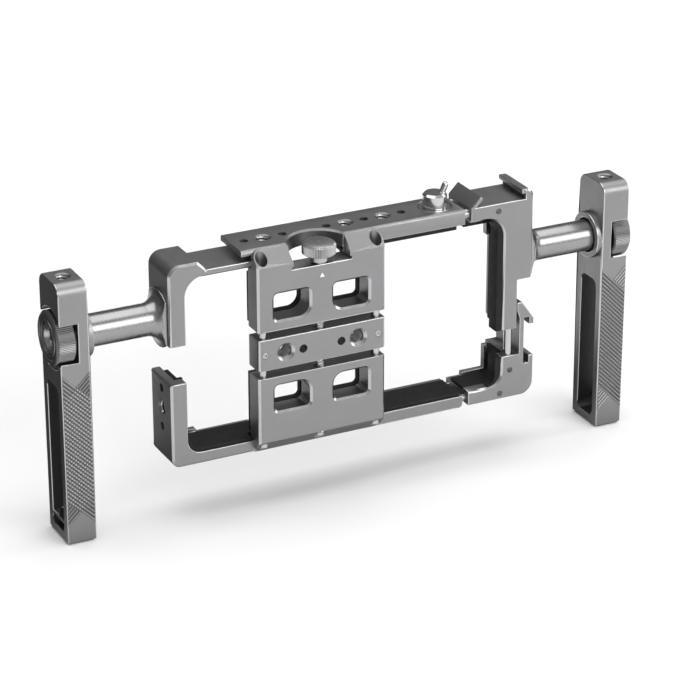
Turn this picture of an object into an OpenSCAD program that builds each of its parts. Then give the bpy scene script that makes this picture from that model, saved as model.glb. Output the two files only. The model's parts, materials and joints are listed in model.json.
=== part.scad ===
// Adjustable cage for a phone, with two swivel grips, in the closed state.
// X runs along the phone, Y from the plates to the screen side, Z up.

/* [Phone space] */
// Length of the shortest phone that the closed cage holds
phone_l = 131.5; // [125:0.5:145]
// Width of the narrowest phone that the closed cage holds
phone_w = 64.2; // [62:0.1:72]
// Thickness of the phone
phone_t = 7.7; // [6.5:0.1:8.5]
// Slack between the phone and the pads round it
phone_play = 0.2; // [0.1:0.05:0.4]

/* [Travel] */
// How far the right-hand side pulls out
length_travel = 30; // [10:1:30]
// How far the lower half opens downward
width_travel = 14; // [6:1:15]

/* [Frame] */
// Depth of the rails and brackets
cage_depth = 18; // [17:0.5:22]
// Thickness of the end walls behind the pads
end_wall = 3.4; // [3:0.1:4.5]
// Thickness of the pads on the end walls
end_pad = 1.4; // [1:0.1:2]
// Thickness of the lower rail and of the lower brackets' arms
floor_t = 4.6; // [4.4:0.1:6]
// Height of the lower right bracket's front lip
low_lip_h = 5.7; // [4.6:0.1:6]
// Thickness of the pads on the lower rail
floor_pad = 1.3; // [1:0.1:2]
// Thickness of the pads under the upper arms
top_pad = 2.9; // [2:0.1:3.5]
// Thickness of the upper left bracket's arm
arm_t = 2; // [1.8:0.1:2.4]
// Height of the raised corner above the arm
corner_rise = 3.3; // [2.5:0.1:3.8]
// Thickness of the upper rail
rail_t = 5.8; // [5.6:0.1:7]
// Gap over the arm under the rail's free end
rail_lip_gap = 2.1; // [1.5:0.1:2.4]
// Width of the front lips that hold the phone's ends
leg_w = 6.2; // [5.6:0.1:7]
// Thickness of the front lips
lip_t = 4.6; // [4:0.1:5]
// Thickness of the rear corner lips
rear_lip_t = 2.4; // [1.6:0.1:3]
// Radius of the upper outer corners
corner_r = 4.6; // [3:0.1:6]
// Radius inside the upper corners
inner_r = 7.6; // [5:0.1:9]
// Radius of the lower left outer corner
foot_corner_r = 3.2; // [2:0.1:5]
// Radius inside the lower corners
low_inner_r = 5.4; // [4:0.1:7]
// How low the upper side legs reach below the bay's top
upper_leg_drop = 25.6; // [22:0.2:30]
// How high the lower left leg stands
low_leg_h = 33; // [30:0.5:36]

/* [Back plates] */
// Width of the three back plates
plate_w = 51; // [48:0.5:60]
// How far the plates' centre lies left of the cage's
plate_off = 16.4; // [12:0.2:17]
// Thickness of the plates
plate_t = 8.2; // [7.6:0.1:9]
// How far the plates stand in front of the brackets
plate_proud = 5.6; // [5:0.1:6.5]
// Height of the middle bar
bar_h = 12.2; // [11:0.1:14]
// Gap over and under the middle bar when closed
plate_gap = 2.9; // [1.5:0.1:4]
// Width of the plate windows
window_w = 14.2; // [12:0.1:16]
// Height of the plate windows
window_h = 10.3; // [9:0.1:12]
// Distance of a window's centre from the plates' centre line
window_dx = 11.85; // [11:0.05:13]
// Height of the window centres from the bar's centre
window_dz = 17.9; // [17:0.1:19]
// Small corner radius of a window
window_r = 1.8; // [1:0.1:2.4]
// Large corner radius of a window
window_big_r = 4.2; // [3:0.1:4.8]
// Distance of the guide rods from the plates' edges
guide_edge = 2.8; // [2.6:0.1:3.4]
// Diameter of the guide rods
guide_d = 3.2; // [3:0.1:3.4]
// Diameter of the lead screw
lead_d = 4; // [3.6:0.1:4.2]

/* [Thumbwheel] */
// Diameter of the thumbwheel
wheel_d = 12.4; // [12:0.1:14]
// Height of the thumbwheel
wheel_h = 4.7; // [4:0.1:5]
// Number of flutes round the thumbwheel
wheel_flutes = 24; // [16:1:30]
// Diameter of the collar under the thumbwheel
collar_d = 6.7; // [6:0.1:8]
// Radius of the finger pocket round the thumbwheel
pocket_r = 11.5; // [9.5:0.1:11.8]

/* [Sliding rods] */
// Diameter of the two upper length rods
top_rod_d = 4; // [3.6:0.1:4.2]
// Diameter of the two lower length rods
low_rod_d = 3; // [2.6:0.1:3.2]
// Distance of the length rods from mid-depth
rod_dy = 5.9; // [5.7:0.1:6]
// Length of the length rods that stays in the rails when pulled out
rod_hold = 16; // [14:0.5:18]
// Diameter of the side guide rod
side_rod_d = 3.2; // [2.6:0.1:3.3]

/* [Side block and shoes] */
// Length of the right-hand arms
side_arm = 26.4; // [25:0.1:28]
// How far the rod block stands out from the leg
block_out = 6.2; // [5:0.1:7]
// How low the narrow leg reaches below the block
narrow_leg_drop = 19.6; // [17:0.2:20]
// Width of an accessory foot
foot_w = 18.6; // [18:0.1:19]
// Height of the slot that takes the accessory foot
foot_slot = 2.2; // [2:0.1:2.4]
// Width of the side shoe's mouth
shoe_mouth = 12.7; // [12:0.1:14]
// Width of the top shoe's mouth
top_mouth = 16.3; // [14:0.1:17]
// Thickness of the side shoe's wall
shoe_wall = 2; // [1.6:0.1:2.4]

/* [Grips] */
// Diameter of the grip rods
arm_d = 12; // [10:0.1:13]
// Length of the grip rods from the cage to the grip's boss
arm_l = 28.2; // [24:0.1:34]
// How far the grip rods' axis lies below the upper arms
rod_drop = 16.7; // [14:0.1:17.5]
// Diameter of the flare at the cage
flare_d = 22; // [20:0.2:24]
// Length of the flare
flare_l = 6; // [5:0.1:9]
// Width across the flats that trim the flare
flare_flat = 14.8; // [13:0.1:17]
// Width of a grip
grip_w = 11; // [10.8:0.1:13]
// Depth of a grip
grip_d = 18; // [17:0.1:20]
// Height of a grip
grip_h = 100.4; // [90:0.2:110]
// Height of the grip rod's axis under the grip's top
grip_axis_drop = 22.4; // [19:0.1:24]
// Radius of the grip's upper edges
grip_top_r = 4.2; // [3:0.1:5]
// Bevel of the grip's lower edges
grip_foot_bevel = 1; // [0.6:0.1:2]
// Radius of the locking wheel's pocket
lock_pocket_r = 11.5; // [11:0.1:11.8]
// Thickness of the web left behind the locking wheel
grip_web = 4; // [3.6:0.1:4.6]
// Radius of the locking wheel
lock_wheel_r = 10.1; // [10:0.1:10.5]
// How far the locking wheel stands out of the grip
lock_wheel_out = 1.2; // [0.8:0.1:1.6]
// Width of the slot through a grip
slot_w = 10.8; // [10:0.1:12]

/* [Holes] */
// Radius of the quarter-inch holes, cut for the thread
quarter_r = 2.6; // [2.55:0.05:2.7]
// Radius of the small pin holes beside them
pin_r = 1.6; // [1.2:0.05:1.7]
// Depth of the bevel round a hole
hole_bevel = 0.5; // [0.3:0.05:0.6]
// Spacing of the holes along the upper rail
rail_pitch = 7.6; // [7.4:0.1:7.8]

/* [Hidden] */
$fn = 48;

// Overrun of every cut, and the clearances of the fits
over = 1;
slide_fit = 0.05;
seat_gap = 0.3;
plain_fit = 0.1;

// Colours
metal = [0.60, 0.61, 0.64];
metal_dark = [0.48, 0.49, 0.52];
steel = [0.78, 0.79, 0.80];
black_rubber = [0.09, 0.09, 0.10];

// Depth: the front face of the brackets is at -half_d
half_d = cage_depth / 2;
front_y = -half_d;
lip_back_y = front_y + lip_t;
flange_t = 1.4;
phone_back_y = lip_back_y + flange_t;
phone_front_y = phone_back_y + phone_t + phone_play;
rear_lip_y0 = phone_front_y + phone_play;
rear_lip_y1 = rear_lip_y0 + rear_lip_t;
plate_front_y = front_y - plate_proud;
plate_back_y = plate_front_y + plate_t;
guide_depth_share = 0.48;
guide_y = plate_front_y + guide_depth_share * plate_proud;

// Length: the left face is at left_x, the right leg's outer face at core_x
bay_l = phone_l + phone_play;
bay_w = phone_w + phone_play;
core_l = bay_l + 2 * (end_pad + end_wall);
cage_l = core_l + block_out;
left_x = -cage_l / 2;
core_x = left_x + core_l;
right_x = cage_l / 2;
arm_start_x = right_x - side_arm;
joint_gap = 2.5;
rod_grip = length_travel + rod_hold;
rail_end_x = arm_start_x - joint_gap;
left_inner_x = left_x + end_wall;
right_inner_x = core_x - end_wall;
plate_x = -plate_off;
plate_x0 = plate_x - plate_w / 2;
plate_x1 = plate_x + plate_w / 2;
guide_dx = plate_w / 2 - guide_edge;

// Height: the cage's base is at zero
bay_z0 = floor_t + floor_pad;
bay_z1 = bay_z0 + bay_w;
arm_z0 = bay_z1 + top_pad;
arm_z1 = arm_z0 + arm_t;
arm_z = arm_z0 - rod_drop;
corner_z = arm_z1 + corner_rise;
rail_lift_share = 0.3;
rail_z0 = arm_z0 + rail_lift_share * arm_t;
rail_z1 = rail_z0 + rail_t;
rail_lip_z0 = arm_z1 + rail_lip_gap;
upper_leg_z = arm_z0 - upper_leg_drop;
narrow_leg_z = upper_leg_z - narrow_leg_drop;
bar_z = rail_z1 / 2 + seat_gap;
bar_z0 = bar_z - bar_h / 2;
bar_z1 = bar_z + bar_h / 2;
upper_plate_z0 = bar_z1 + plate_gap;
lower_plate_z1 = bar_z0 - plate_gap;
facet = plate_proud;

// Left arms end behind the plates, where the rails begin
arm_lap = 5.9;
arm_end_x = plate_x0 + arm_lap;
rail_start_x = arm_end_x + seat_gap;
rail_lip_reach = 3.6;
rail_lip_x = plate_x0 - rail_lip_reach;
raised_w = 11.6;

// Grip frame
boss_h = 2.2;
boss_r = 9;
ring_t = 0.8;
grip_in_x = right_x + arm_l + boss_h;
grip_out_x = grip_in_x + grip_w;
grip_top_z = arm_z + grip_axis_drop;
grip_foot_z = grip_top_z - grip_h;
wheel_out_x = grip_out_x + lock_wheel_out;
wheel_web_gap = 0.9;
lock_wheel_in_x = grip_in_x + grip_web + wheel_web_gap;

// The part's own frame: centred in X and Y, standing on the grips' feet
front_most = plate_front_y - wheel_nose();
back_most = lock_wheel_r;
function wheel_nose() = wheel_d / 2 - (guide_y - plate_front_y);
shift_y = -(front_most + back_most) / 2;
shift_z = -grip_foot_z;

module placed() translate([0, shift_y, shift_z]) children();

// A flat outline drawn in X and Z, given a depth from y0 to y1
module along_y(y0, y1) translate([0, y1, 0]) rotate([90, 0, 0]) linear_extrude(height = y1 - y0) children();

// A flat outline drawn in Y and Z, given a length from x0 to x1
module along_x(x0, x1) translate([x0, 0, 0]) rotate([90, 0, 90]) linear_extrude(height = x1 - x0) children();

// A flat outline drawn in X and Y, given a height from z0 to z1
module along_z(z0, z1) translate([0, 0, z0]) linear_extrude(height = z1 - z0) children();

module area(x0, y0, x1, y1) translate([x0, y0]) square([x1 - x0, y1 - y0]);

module block(x0, y0, z0, x1, y1, z1) translate([x0, y0, z0]) cube([x1 - x0, y1 - y0, z1 - z0]);

// What a convex corner at (x, y) loses when it is rounded; (sx, sy) points into the material
module corner_loss(x, y, sx, sy, r) translate([x, y]) difference() {
    area(min(-sx * over, sx * r), min(-sy * over, sy * r), max(-sx * over, sx * r), max(-sy * over, sy * r));
    translate([sx * r, sy * r]) circle(r = r);
}

// What a concave corner at (x, y) gains when it is filled; (sx, sy) points into the opening
module corner_gain(x, y, sx, sy, r) translate([x, y]) difference() {
    area(min(-sx * over, sx * r), min(-sy * over, sy * r), max(-sx * over, sx * r), max(-sy * over, sy * r));
    translate([sx * r, sy * r]) circle(r = r);
}

module bar_x(x0, x1, y, z, r) translate([x0, y, z]) rotate([0, 90, 0]) cylinder(h = x1 - x0, r = r);

module bar_y(y0, y1, x, z, r) translate([x, y1, z]) rotate([90, 0, 0]) cylinder(h = y1 - y0, r = r);

module bar_z(z0, z1, x, y, r) translate([x, y, z0]) cylinder(h = z1 - z0, r = r);

// A bevelled mouth cut into a face whose hole runs down from z at (x, y)
module mouth_z(x, y, z, r) translate([x, y, z - hole_bevel])
    cylinder(h = hole_bevel + over, r1 = r, r2 = r + hole_bevel + over);

// The same for a hole that runs back in Y from the face at y
module mouth_y(x, y, z, r, bevel) translate([x, y + bevel, z]) rotate([90, 0, 0])
    cylinder(h = bevel + over, r1 = r, r2 = r + bevel + over);

// The same for a hole that runs in +X from the face at x
module mouth_x(x, y, z, r) translate([x + hole_bevel, y, z]) rotate([0, -90, 0])
    cylinder(h = hole_bevel + over, r1 = r, r2 = r + hole_bevel + over);

front_bevel = 0.8;

// Bevel of a bracket's front edge that runs from (x0, z0) to (x1, z1) with the material on its right
module front_edge(x0, z0, x1, z1) translate([x0, 0, z0]) rotate([0, -atan2(z1 - z0, x1 - x0), 0])
    along_x(0, norm([x1 - x0, z1 - z0])) polygon([
        [front_y - over, over], [front_y - over, -front_bevel - over], [front_y + front_bevel + over, over],
    ]);

// The quarter round the centre of an arc of the radius r, which the arc's corner at (x, z) lies in
module quarter(x, z, sx, sz, r)
    block(min(x - sx * over, x + sx * r), front_y - over, min(z - sz * over, z + sz * r),
        max(x - sx * over, x + sx * r), front_y + front_bevel, max(z - sz * over, z + sz * r));

// The same bevel round an outer corner at (x, z); (sx, sz) points into the material
module front_corner(x, z, sx, sz, r) intersection() {
    translate([x + sx * r, front_y, z + sz * r]) rotate([-90, 0, 0]) rotate_extrude() polygon([
        [r - front_bevel - over, -over], [r + 2 * over, -over], [r + 2 * over, front_bevel + 2 * over],
    ]);
    quarter(x, z, sx, sz, r);
}

// The same bevel round an inner fillet whose corner is at (x, z); (sx, sz) points into the opening
module front_fillet(x, z, sx, sz, r) intersection() {
    translate([x + sx * r, front_y - over, z + sz * r]) rotate([-90, 0, 0])
        cylinder(h = over + front_bevel, r1 = r + front_bevel + over, r2 = r);
    quarter(x, z, sx, sz, r);
}

// Upper left bracket
module upper_left_outline(w, r) difference() {
    union() {
        area(left_x, upper_leg_z, left_x + w, corner_z);
        area(left_x, arm_z0, arm_end_x, arm_z1);
        polygon([
            [left_x, arm_z0], [left_x + raised_w + corner_rise, arm_z1 - arm_t / 2],
            [left_x + raised_w + corner_rise, arm_z1], [left_x + raised_w, corner_z], [left_x, corner_z],
        ]);
        corner_gain(left_x + w, arm_z0, 1, -1, r);
    }
    corner_loss(left_x, corner_z, 1, -1, corner_r);
}

rod_bolt_r = 2.5;
rod_bolt_head_r = 4.4;
rod_bolt_head_h = 1.9;

// The hole for the bolt that holds a grip rod, its head sunk in the wall's inner face at x
module rod_bolt_hole(x0, x1) {
    bar_x(x0 - over, x1, 0, arm_z, rod_bolt_r + plain_fit);
    translate([x1 - rod_bolt_head_h, 0, arm_z]) rotate([0, 90, 0])
        cylinder(h = rod_bolt_head_h, r1 = rod_bolt_r + plain_fit, r2 = rod_bolt_head_r + plain_fit);
    bar_x(x1, x1 + over, 0, arm_z, rod_bolt_head_r + plain_fit);
}

module upper_left_bracket() color(metal) placed() difference() {
    union() {
        along_y(front_y, half_d) upper_left_outline(end_wall, inner_r - (leg_w - end_wall));
        along_y(front_y, lip_back_y) upper_left_outline(leg_w, inner_r);
        along_y(rear_lip_y0, rear_lip_y1) upper_left_rear_lip();
    }
    rod_bolt_hole(left_x, left_inner_x);
    front_edge(left_x, upper_leg_z - over, left_x, corner_z - corner_r);
    front_corner(left_x, corner_z, 1, -1, corner_r);
    front_edge(left_x + corner_r, corner_z, left_x + raised_w, corner_z);
    front_edge(left_x + raised_w, corner_z, left_x + raised_w + corner_rise, arm_z1);
}

rear_lip_hold = 1.2;
rear_lip_w = end_pad + rear_lip_hold;
rear_lip_reach = 12;

module upper_left_rear_lip() difference() {
    union() {
        area(left_x, arm_z0 - rear_lip_reach, left_inner_x + rear_lip_w, arm_z1);
        area(left_x, bay_z1 - phone_play - rear_lip_hold, left_inner_x + rear_lip_reach, arm_z1);
    }
    corner_loss(left_x, corner_z, 1, -1, corner_r);
}

module lower_left_rear_lip() union() {
    area(left_x + foot_corner_r, floor_t - over, left_inner_x + rear_lip_w, floor_t + rear_lip_reach);
    area(left_inner_x - over, floor_t - over, left_inner_x + rear_lip_reach, bay_z0 + rear_lip_hold);
}

// Lower left bracket, with three threaded side holes
side_hole_drop = 11.8;
side_hole_z = low_leg_h - side_hole_drop;
side_hole_pitch = 7.6;

module lower_left_outline(w, r) difference() {
    union() {
        area(left_x, 0, left_x + w, low_leg_h);
        area(left_x, 0, arm_end_x, floor_t);
        corner_gain(left_x + w, floor_t, 1, 1, r);
    }
    corner_loss(left_x, 0, 1, 1, foot_corner_r);
    corner_loss(left_x, low_leg_h, 1, -1, leg_bevel_r);
}

leg_bevel_r = 1;

module lower_left_bracket() color(metal) placed() difference() {
    union() {
        along_y(front_y, half_d) lower_left_outline(end_wall, low_inner_r - (leg_w - end_wall));
        along_y(front_y, lip_back_y) lower_left_outline(leg_w, low_inner_r);
        along_y(rear_lip_y0, rear_lip_y1) lower_left_rear_lip();
    }
    bar_x(left_x - over, left_inner_x + over, 0, side_hole_z, quarter_r);
    mouth_x(left_x, 0, side_hole_z, quarter_r);
    for (s = [-1, 1]) bar_x(left_x - over, left_inner_x + over, 0, side_hole_z + s * side_hole_pitch, pin_r);
    front_edge(plate_x0 + seat_gap, 0, left_x + foot_corner_r, 0);
    front_corner(left_x, 0, 1, 1, foot_corner_r);
    front_edge(left_x, foot_corner_r, left_x, low_leg_h + over);
}

// Top rail
wheel_x = plate_x;
first_hole = 8.8;
rail_bevel = 0.8;
lock_from_end = 8.1;
lock_x = rail_end_x - lock_from_end;
lock_recess_r = 6.3;
lock_recess_d = 0.8;
lock_screw_r = 1.8;
quarter_xs = [wheel_x - first_hole - rail_pitch, wheel_x + first_hole + rail_pitch,
    wheel_x + first_hole + 3 * rail_pitch];
pin_xs = [wheel_x - first_hole, wheel_x - first_hole - 2 * rail_pitch, wheel_x + first_hole,
    wheel_x + first_hole + 2 * rail_pitch, wheel_x + first_hole + 4 * rail_pitch];

// Section of the upper rail from z0 up, its front and back edges bevelled
module rail_section(z0) polygon([
    [front_y, z0], [half_d, z0], [half_d, rail_z1 - rail_bevel / 2], [half_d - rail_bevel / 2, rail_z1],
    [front_y + rail_bevel, rail_z1], [front_y, rail_z1 - rail_bevel],
]);

module top_rail() color(metal_dark) placed() difference() {
    union() {
        along_x(rail_start_x, rail_end_x) rail_section(rail_z0);
        along_x(rail_lip_x, rail_start_x + over) rail_section(rail_lip_z0);
    }
    for (x = quarter_xs) {
        bar_z(rail_z0 - over, rail_z1 + over, x, 0, quarter_r);
        mouth_z(x, 0, rail_z1, quarter_r);
    }
    for (x = pin_xs) bar_z(rail_z0 - over, rail_z1 + over, x, 0, pin_r);
    bar_z(rail_z0 - over, rail_z1 + over, lock_x, 0, lock_screw_r + plain_fit);
    bar_z(rail_z1 - lock_recess_d, rail_z1 + over, lock_x, 0, lock_recess_r);
    rod_holes(rail_end_x - rod_grip - rod_end_gap, rail_end_x + over, top_rod_z, top_rod_d / 2);
    wheel_pocket();
}

// The holes of a pair of length rods of the radius r, from x0 to x1
module rod_holes(x0, x1, z, r) for (s = [-1, 1]) bar_x(x0, x1, s * rod_dy, z, r + slide_fit);

rod_end_gap = joint_gap + seat_gap;
top_rod_z = rail_z0 + rail_t / 2;
low_rod_z = floor_t / 2;

// Finger pocket round the thumbwheel, cut in the rail and the upper plate
wheel_sunk = 0.1;
wheel_z1 = rail_z1 - wheel_sunk;
wheel_z0 = wheel_z1 - wheel_h;
collar_h = 3;
pocket_z0 = wheel_z0 - collar_h - seat_gap;

pocket_rim = 0.7;
pocket_groove_w = 0.7;
pocket_groove_h = 1.2;

module wheel_pocket() {
    bar_z(pocket_z0, rail_z1 + over, wheel_x, guide_y, pocket_r);
    bar_z(pocket_z0, pocket_z0 + pocket_groove_h, wheel_x, guide_y, pocket_r + pocket_groove_w);
    translate([wheel_x, guide_y, rail_z1 - pocket_rim])
        cylinder(h = pocket_rim + over, r1 = pocket_r, r2 = pocket_r + pocket_rim + over);
}

// Bottom rail, its free end rounded off below
rail_end_r = 1.6;

module bottom_rail() color(metal) placed() difference() {
    along_y(front_y, half_d) difference() {
        area(rail_start_x, 0, rail_end_x, floor_t);
        corner_loss(rail_end_x, 0, -1, 1, rail_end_r);
    }
    rod_holes(rail_end_x - rod_grip - rod_end_gap, rail_end_x + over, low_rod_z, low_rod_d / 2);
}

// Back plates: a window with one corner much rounder than the others, toward (bx, bz)
module window(bx, bz) difference() {
    square([window_w, window_h], center = true);
    for (sx = [-1, 1], sz = [-1, 1])
        corner_loss(-sx * window_w / 2, -sz * window_h / 2, sx, sz,
            (sx == bx && sz == bz) ? window_big_r : window_r);
}

// Bevel round a window's front edge at y: a wedge along each side and a cone in each corner
module window_bevel(bx, bz, y) {
    r = [for (sz = [-1, 1], sx = [-1, 1]) (sx == -bx && sz == -bz) ? window_big_r : window_r];
    w = window_w / 2;
    h = window_h / 2;
    x = [-w + r[0], w - r[1], -w + r[2], w - r[3]];
    z = [-h + r[0], -h + r[1], h - r[2], h - r[3]];
    for (i = [0 : 3]) translate([x[i], y - over, z[i]]) rotate([-90, 0, 0])
        cylinder(h = over + plate_bevel, r1 = r[i] + plate_bevel + over, r2 = r[i]);
    for (k = [0, 1]) {
        along_x(x[2 * k], x[2 * k + 1]) bevel_side(y, (2 * k - 1) * h);
        along_z(z[k], z[k + 2]) mirror([1, -1]) bevel_side(y, (2 * k - 1) * w);
    }
}

// Section of one bevelled side, from the window's middle out to its edge at e
module bevel_side(y, e) polygon([
    [y - over, 0], [y - over, e + sign(e) * (plate_bevel + over)], [y + plate_bevel, e], [y + plate_bevel, 0],
]);

plate_bevel = 0.8;
facet_corner_r = 3.4;

module windows(side) for (s = [-1, 1]) {
    along_y(plate_front_y - over, plate_back_y + over)
        translate([plate_x + s * window_dx, bar_z + side * window_dz]) window(s, side);
    translate([plate_x + s * window_dx, 0, bar_z + side * window_dz]) window_bevel(s, side, plate_front_y);
}

// The bevels of the upright front edges of a plate or the bar
module plate_edges() for (s = [-1, 1])
    along_z(-over, rail_z1 + over) translate([plate_x + s * plate_w / 2, plate_front_y])
        polygon([[s * over, -over], [-s * (plate_bevel + over), -over], [s * over, plate_bevel + over]]);

// The rounded outer corners of a plate's facet, which ends at the height z; side is 1 at the top
module facet_corners(z, side) along_y(plate_front_y - over, front_y + over) for (s = [-1, 1])
    corner_loss(plate_x + s * plate_w / 2, z, -s, -side, facet_corner_r);

// Section of a plate in Y and Z: from the bar's side z0 to the cage's edge z1, with the sloping facet
module plate_section(z0, z1, seat_z) {
    s = sign(z1 - z0);
    polygon([
        [plate_front_y, z0], [plate_back_y, z0], [plate_back_y, seat_z], [front_y, seat_z],
        [front_y, z1], [plate_front_y, z1 - s * facet],
    ]);
}

module guide_holes(z0, z1, r) for (s = [-1, 1]) bar_z(z0, z1, plate_x + s * guide_dx, guide_y, r);

guide_screw_r = 2.1;
guide_screw_h = 2.2;
guide_screw_z = rail_z1 - facet;
guide_top_z = guide_screw_z - guide_screw_h;

module upper_plate() color(metal) placed() difference() {
    along_x(plate_x0, plate_x1) plate_section(upper_plate_z0, rail_z1, arm_z0 - seat_gap);
    windows(1);
    plate_edges();
    facet_corners(rail_z1, 1);
    wheel_pocket();
    guide_holes(upper_plate_z0 - over, guide_top_z + over, guide_d / 2 + slide_fit);
    guide_holes(guide_top_z, rail_z1 + over, guide_screw_r + plain_fit);
    bar_z(upper_plate_z0 - over, pocket_z0 + over, plate_x, guide_y, lead_d / 2 + plain_fit);
}

module lower_plate() color(metal) placed() difference() {
    along_x(plate_x0, plate_x1) plate_section(lower_plate_z1, 0, floor_t + seat_gap);
    windows(-1);
    plate_edges();
    facet_corners(0, -1);
    guide_holes(-over, lower_plate_z1 + over, guide_d / 2 + slide_fit);
    bar_z(-over, lower_plate_z1 + over, plate_x, guide_y, lead_d / 2 + plain_fit);
}

bar_quarter_dx = 14.5;
bar_pin_dx = 7.65;
bar_screw_r = 1.25;
bar_screw_h = 0.9;
bar_hole_bevel = 1;

module middle_bar() color(metal) placed() difference() {
    block(plate_x0, plate_front_y, bar_z0, plate_x1, plate_back_y, bar_z1);
    plate_edges();
    guide_holes(bar_z0 - over, bar_z1 + over, guide_d / 2 + slide_fit);
    bar_z(bar_z0 - over, bar_z1 + over, plate_x, guide_y, lead_d / 2 + plain_fit);
    for (s = [-1, 1]) {
        bar_y(plate_front_y - over, plate_back_y + over, plate_x + s * bar_quarter_dx, bar_z, quarter_r);
        mouth_y(plate_x + s * bar_quarter_dx, plate_front_y, bar_z, quarter_r, bar_hole_bevel);
        bar_y(plate_front_y - over, plate_back_y + over, plate_x + s * bar_pin_dx, bar_z, pin_r);
        bar_y(plate_front_y - over, plate_front_y + bar_screw_h, plate_x + s * guide_dx, bar_z,
            bar_screw_r + plain_fit);
    }
}

module middle_bar_screws() color(steel) placed() for (s = [-1, 1]) difference() {
    bar_y(plate_front_y, plate_front_y + bar_screw_h, plate_x + s * guide_dx, bar_z, bar_screw_r);
    translate([plate_x + s * guide_dx, plate_front_y + bar_screw_h / 2, bar_z]) rotate([90, 0, 0])
        cylinder(h = bar_screw_h, r = bar_screw_r / 2, $fn = 6);
}

// Guide rods, fixed in the upper plate, and the lead screw under the thumbwheel
guide_foot_z = facet - (guide_y - plate_front_y);

module plate_guide_rods() color(steel) placed() guide_holes(guide_foot_z, guide_top_z, guide_d / 2);

module guide_rod_screws() color(steel) placed() for (s = [-1, 1]) difference() {
    bar_z(guide_top_z, guide_screw_z, plate_x + s * guide_dx, guide_y, guide_screw_r);
    translate([plate_x + s * guide_dx, guide_y, guide_screw_z - guide_screw_h / 2])
        cylinder(h = guide_screw_h, r = guide_screw_r / 2, $fn = 6);
}

module lead_screw() color(steel) placed()
    bar_z(guide_foot_z, wheel_z0 + wheel_h / 2, plate_x, guide_y, lead_d / 2);

flute_depth = 0.45;
wheel_bevel = 0.6;

// Outline of a wheel with n rounded-off ribs, cut between the radii r and r - depth
module ribbed(r, depth, n) polygon([
    for (i = [0 : 4 * n - 1])
        let (a = 360 * i / (4 * n), q = (i % 4 < 2) ? r : r - depth) [q * cos(a), q * sin(a)],
]);

module thumbwheel() color(steel) placed() translate([plate_x, guide_y, wheel_z0]) difference() {
    intersection() {
        linear_extrude(height = wheel_h) ribbed(wheel_d / 2, flute_depth, wheel_flutes);
        rotate_extrude() polygon([
            [0, 0], [wheel_d / 2 - wheel_bevel, 0], [wheel_d / 2, wheel_bevel],
            [wheel_d / 2, wheel_h - wheel_bevel], [wheel_d / 2 - wheel_bevel, wheel_h], [0, wheel_h],
        ]);
    }
    translate([0, 0, -over]) cylinder(h = over + wheel_h / 2 + plain_fit, r = lead_d / 2 + plain_fit);
}

module screw_collar() color(steel) placed() translate([plate_x, guide_y, wheel_z0 - collar_h]) difference() {
    rotate_extrude() polygon([
        [0, 0], [collar_d / 2 - wheel_bevel, 0], [collar_d / 2, wheel_bevel],
        [collar_d / 2, collar_h], [0, collar_h],
    ]);
    translate([0, 0, -over]) cylinder(h = collar_h + 2 * over, r = lead_d / 2 + plain_fit);
}

// Upper right block with the top accessory shoe
shoe_z = rail_z1;
shoe_lip_z = shoe_z + foot_slot;
top_lip_t = 1.8;
shoe_top_z = shoe_lip_z + top_lip_t;
shoe_rise = shoe_top_z - shoe_z;
shoe_lip_w = 2;
shoe_right_x = arm_start_x + shoe_lip_w + foot_slot + foot_w + plain_fit;
shoe_tip_x = arm_start_x + shoe_rise + shoe_lip_w / 2 + top_mouth;
shoe_corner_r = 3.4;
block_wall_r = inner_r - (leg_w - end_wall);

module upper_right_outline(w, r) union() {
    difference() {
        area(arm_start_x, rail_z0, right_x, shoe_top_z);
        area(arm_start_x - over, shoe_z, shoe_right_x, shoe_top_z + over);
        corner_loss(right_x, shoe_top_z, -1, -1, shoe_corner_r);
    }
    area(shoe_tip_x, shoe_lip_z, shoe_right_x + over, shoe_top_z);
    polygon([
        [arm_start_x, shoe_z - over], [arm_start_x, shoe_z], [arm_start_x + shoe_rise, shoe_top_z],
        [arm_start_x + shoe_rise + shoe_lip_w / 2, shoe_top_z - shoe_lip_w / 2],
        [arm_start_x + shoe_lip_w, shoe_z], [arm_start_x + shoe_lip_w, shoe_z - over],
    ]);
    area(core_x - w, upper_leg_z, right_x, rail_z0 + over);
    area(core_x - w, narrow_leg_z, core_x, rail_z0);
    corner_gain(core_x - w, rail_z0, -1, -1, r);
}

module upper_right_rear_lip() union() {
    area(right_inner_x - rear_lip_w, rail_z0 - rear_lip_reach, right_inner_x + over, rail_z0 + over);
    area(right_inner_x - rear_lip_reach, bay_z1 - phone_play - rear_lip_hold, right_inner_x + over,
        rail_z0 + over);
}

side_rod_in = 2.5;
side_rod_x = core_x - side_rod_in;
side_rod_y = (front_y + lip_back_y) / 2;
side_rod_hold = 5.6;
side_rod_top = narrow_leg_z + width_travel + side_rod_hold;
side_rod_room = 6;
side_rod_foot = 0.8;
block_rod_l = 13;
set_screw_r = 1.1;

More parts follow.
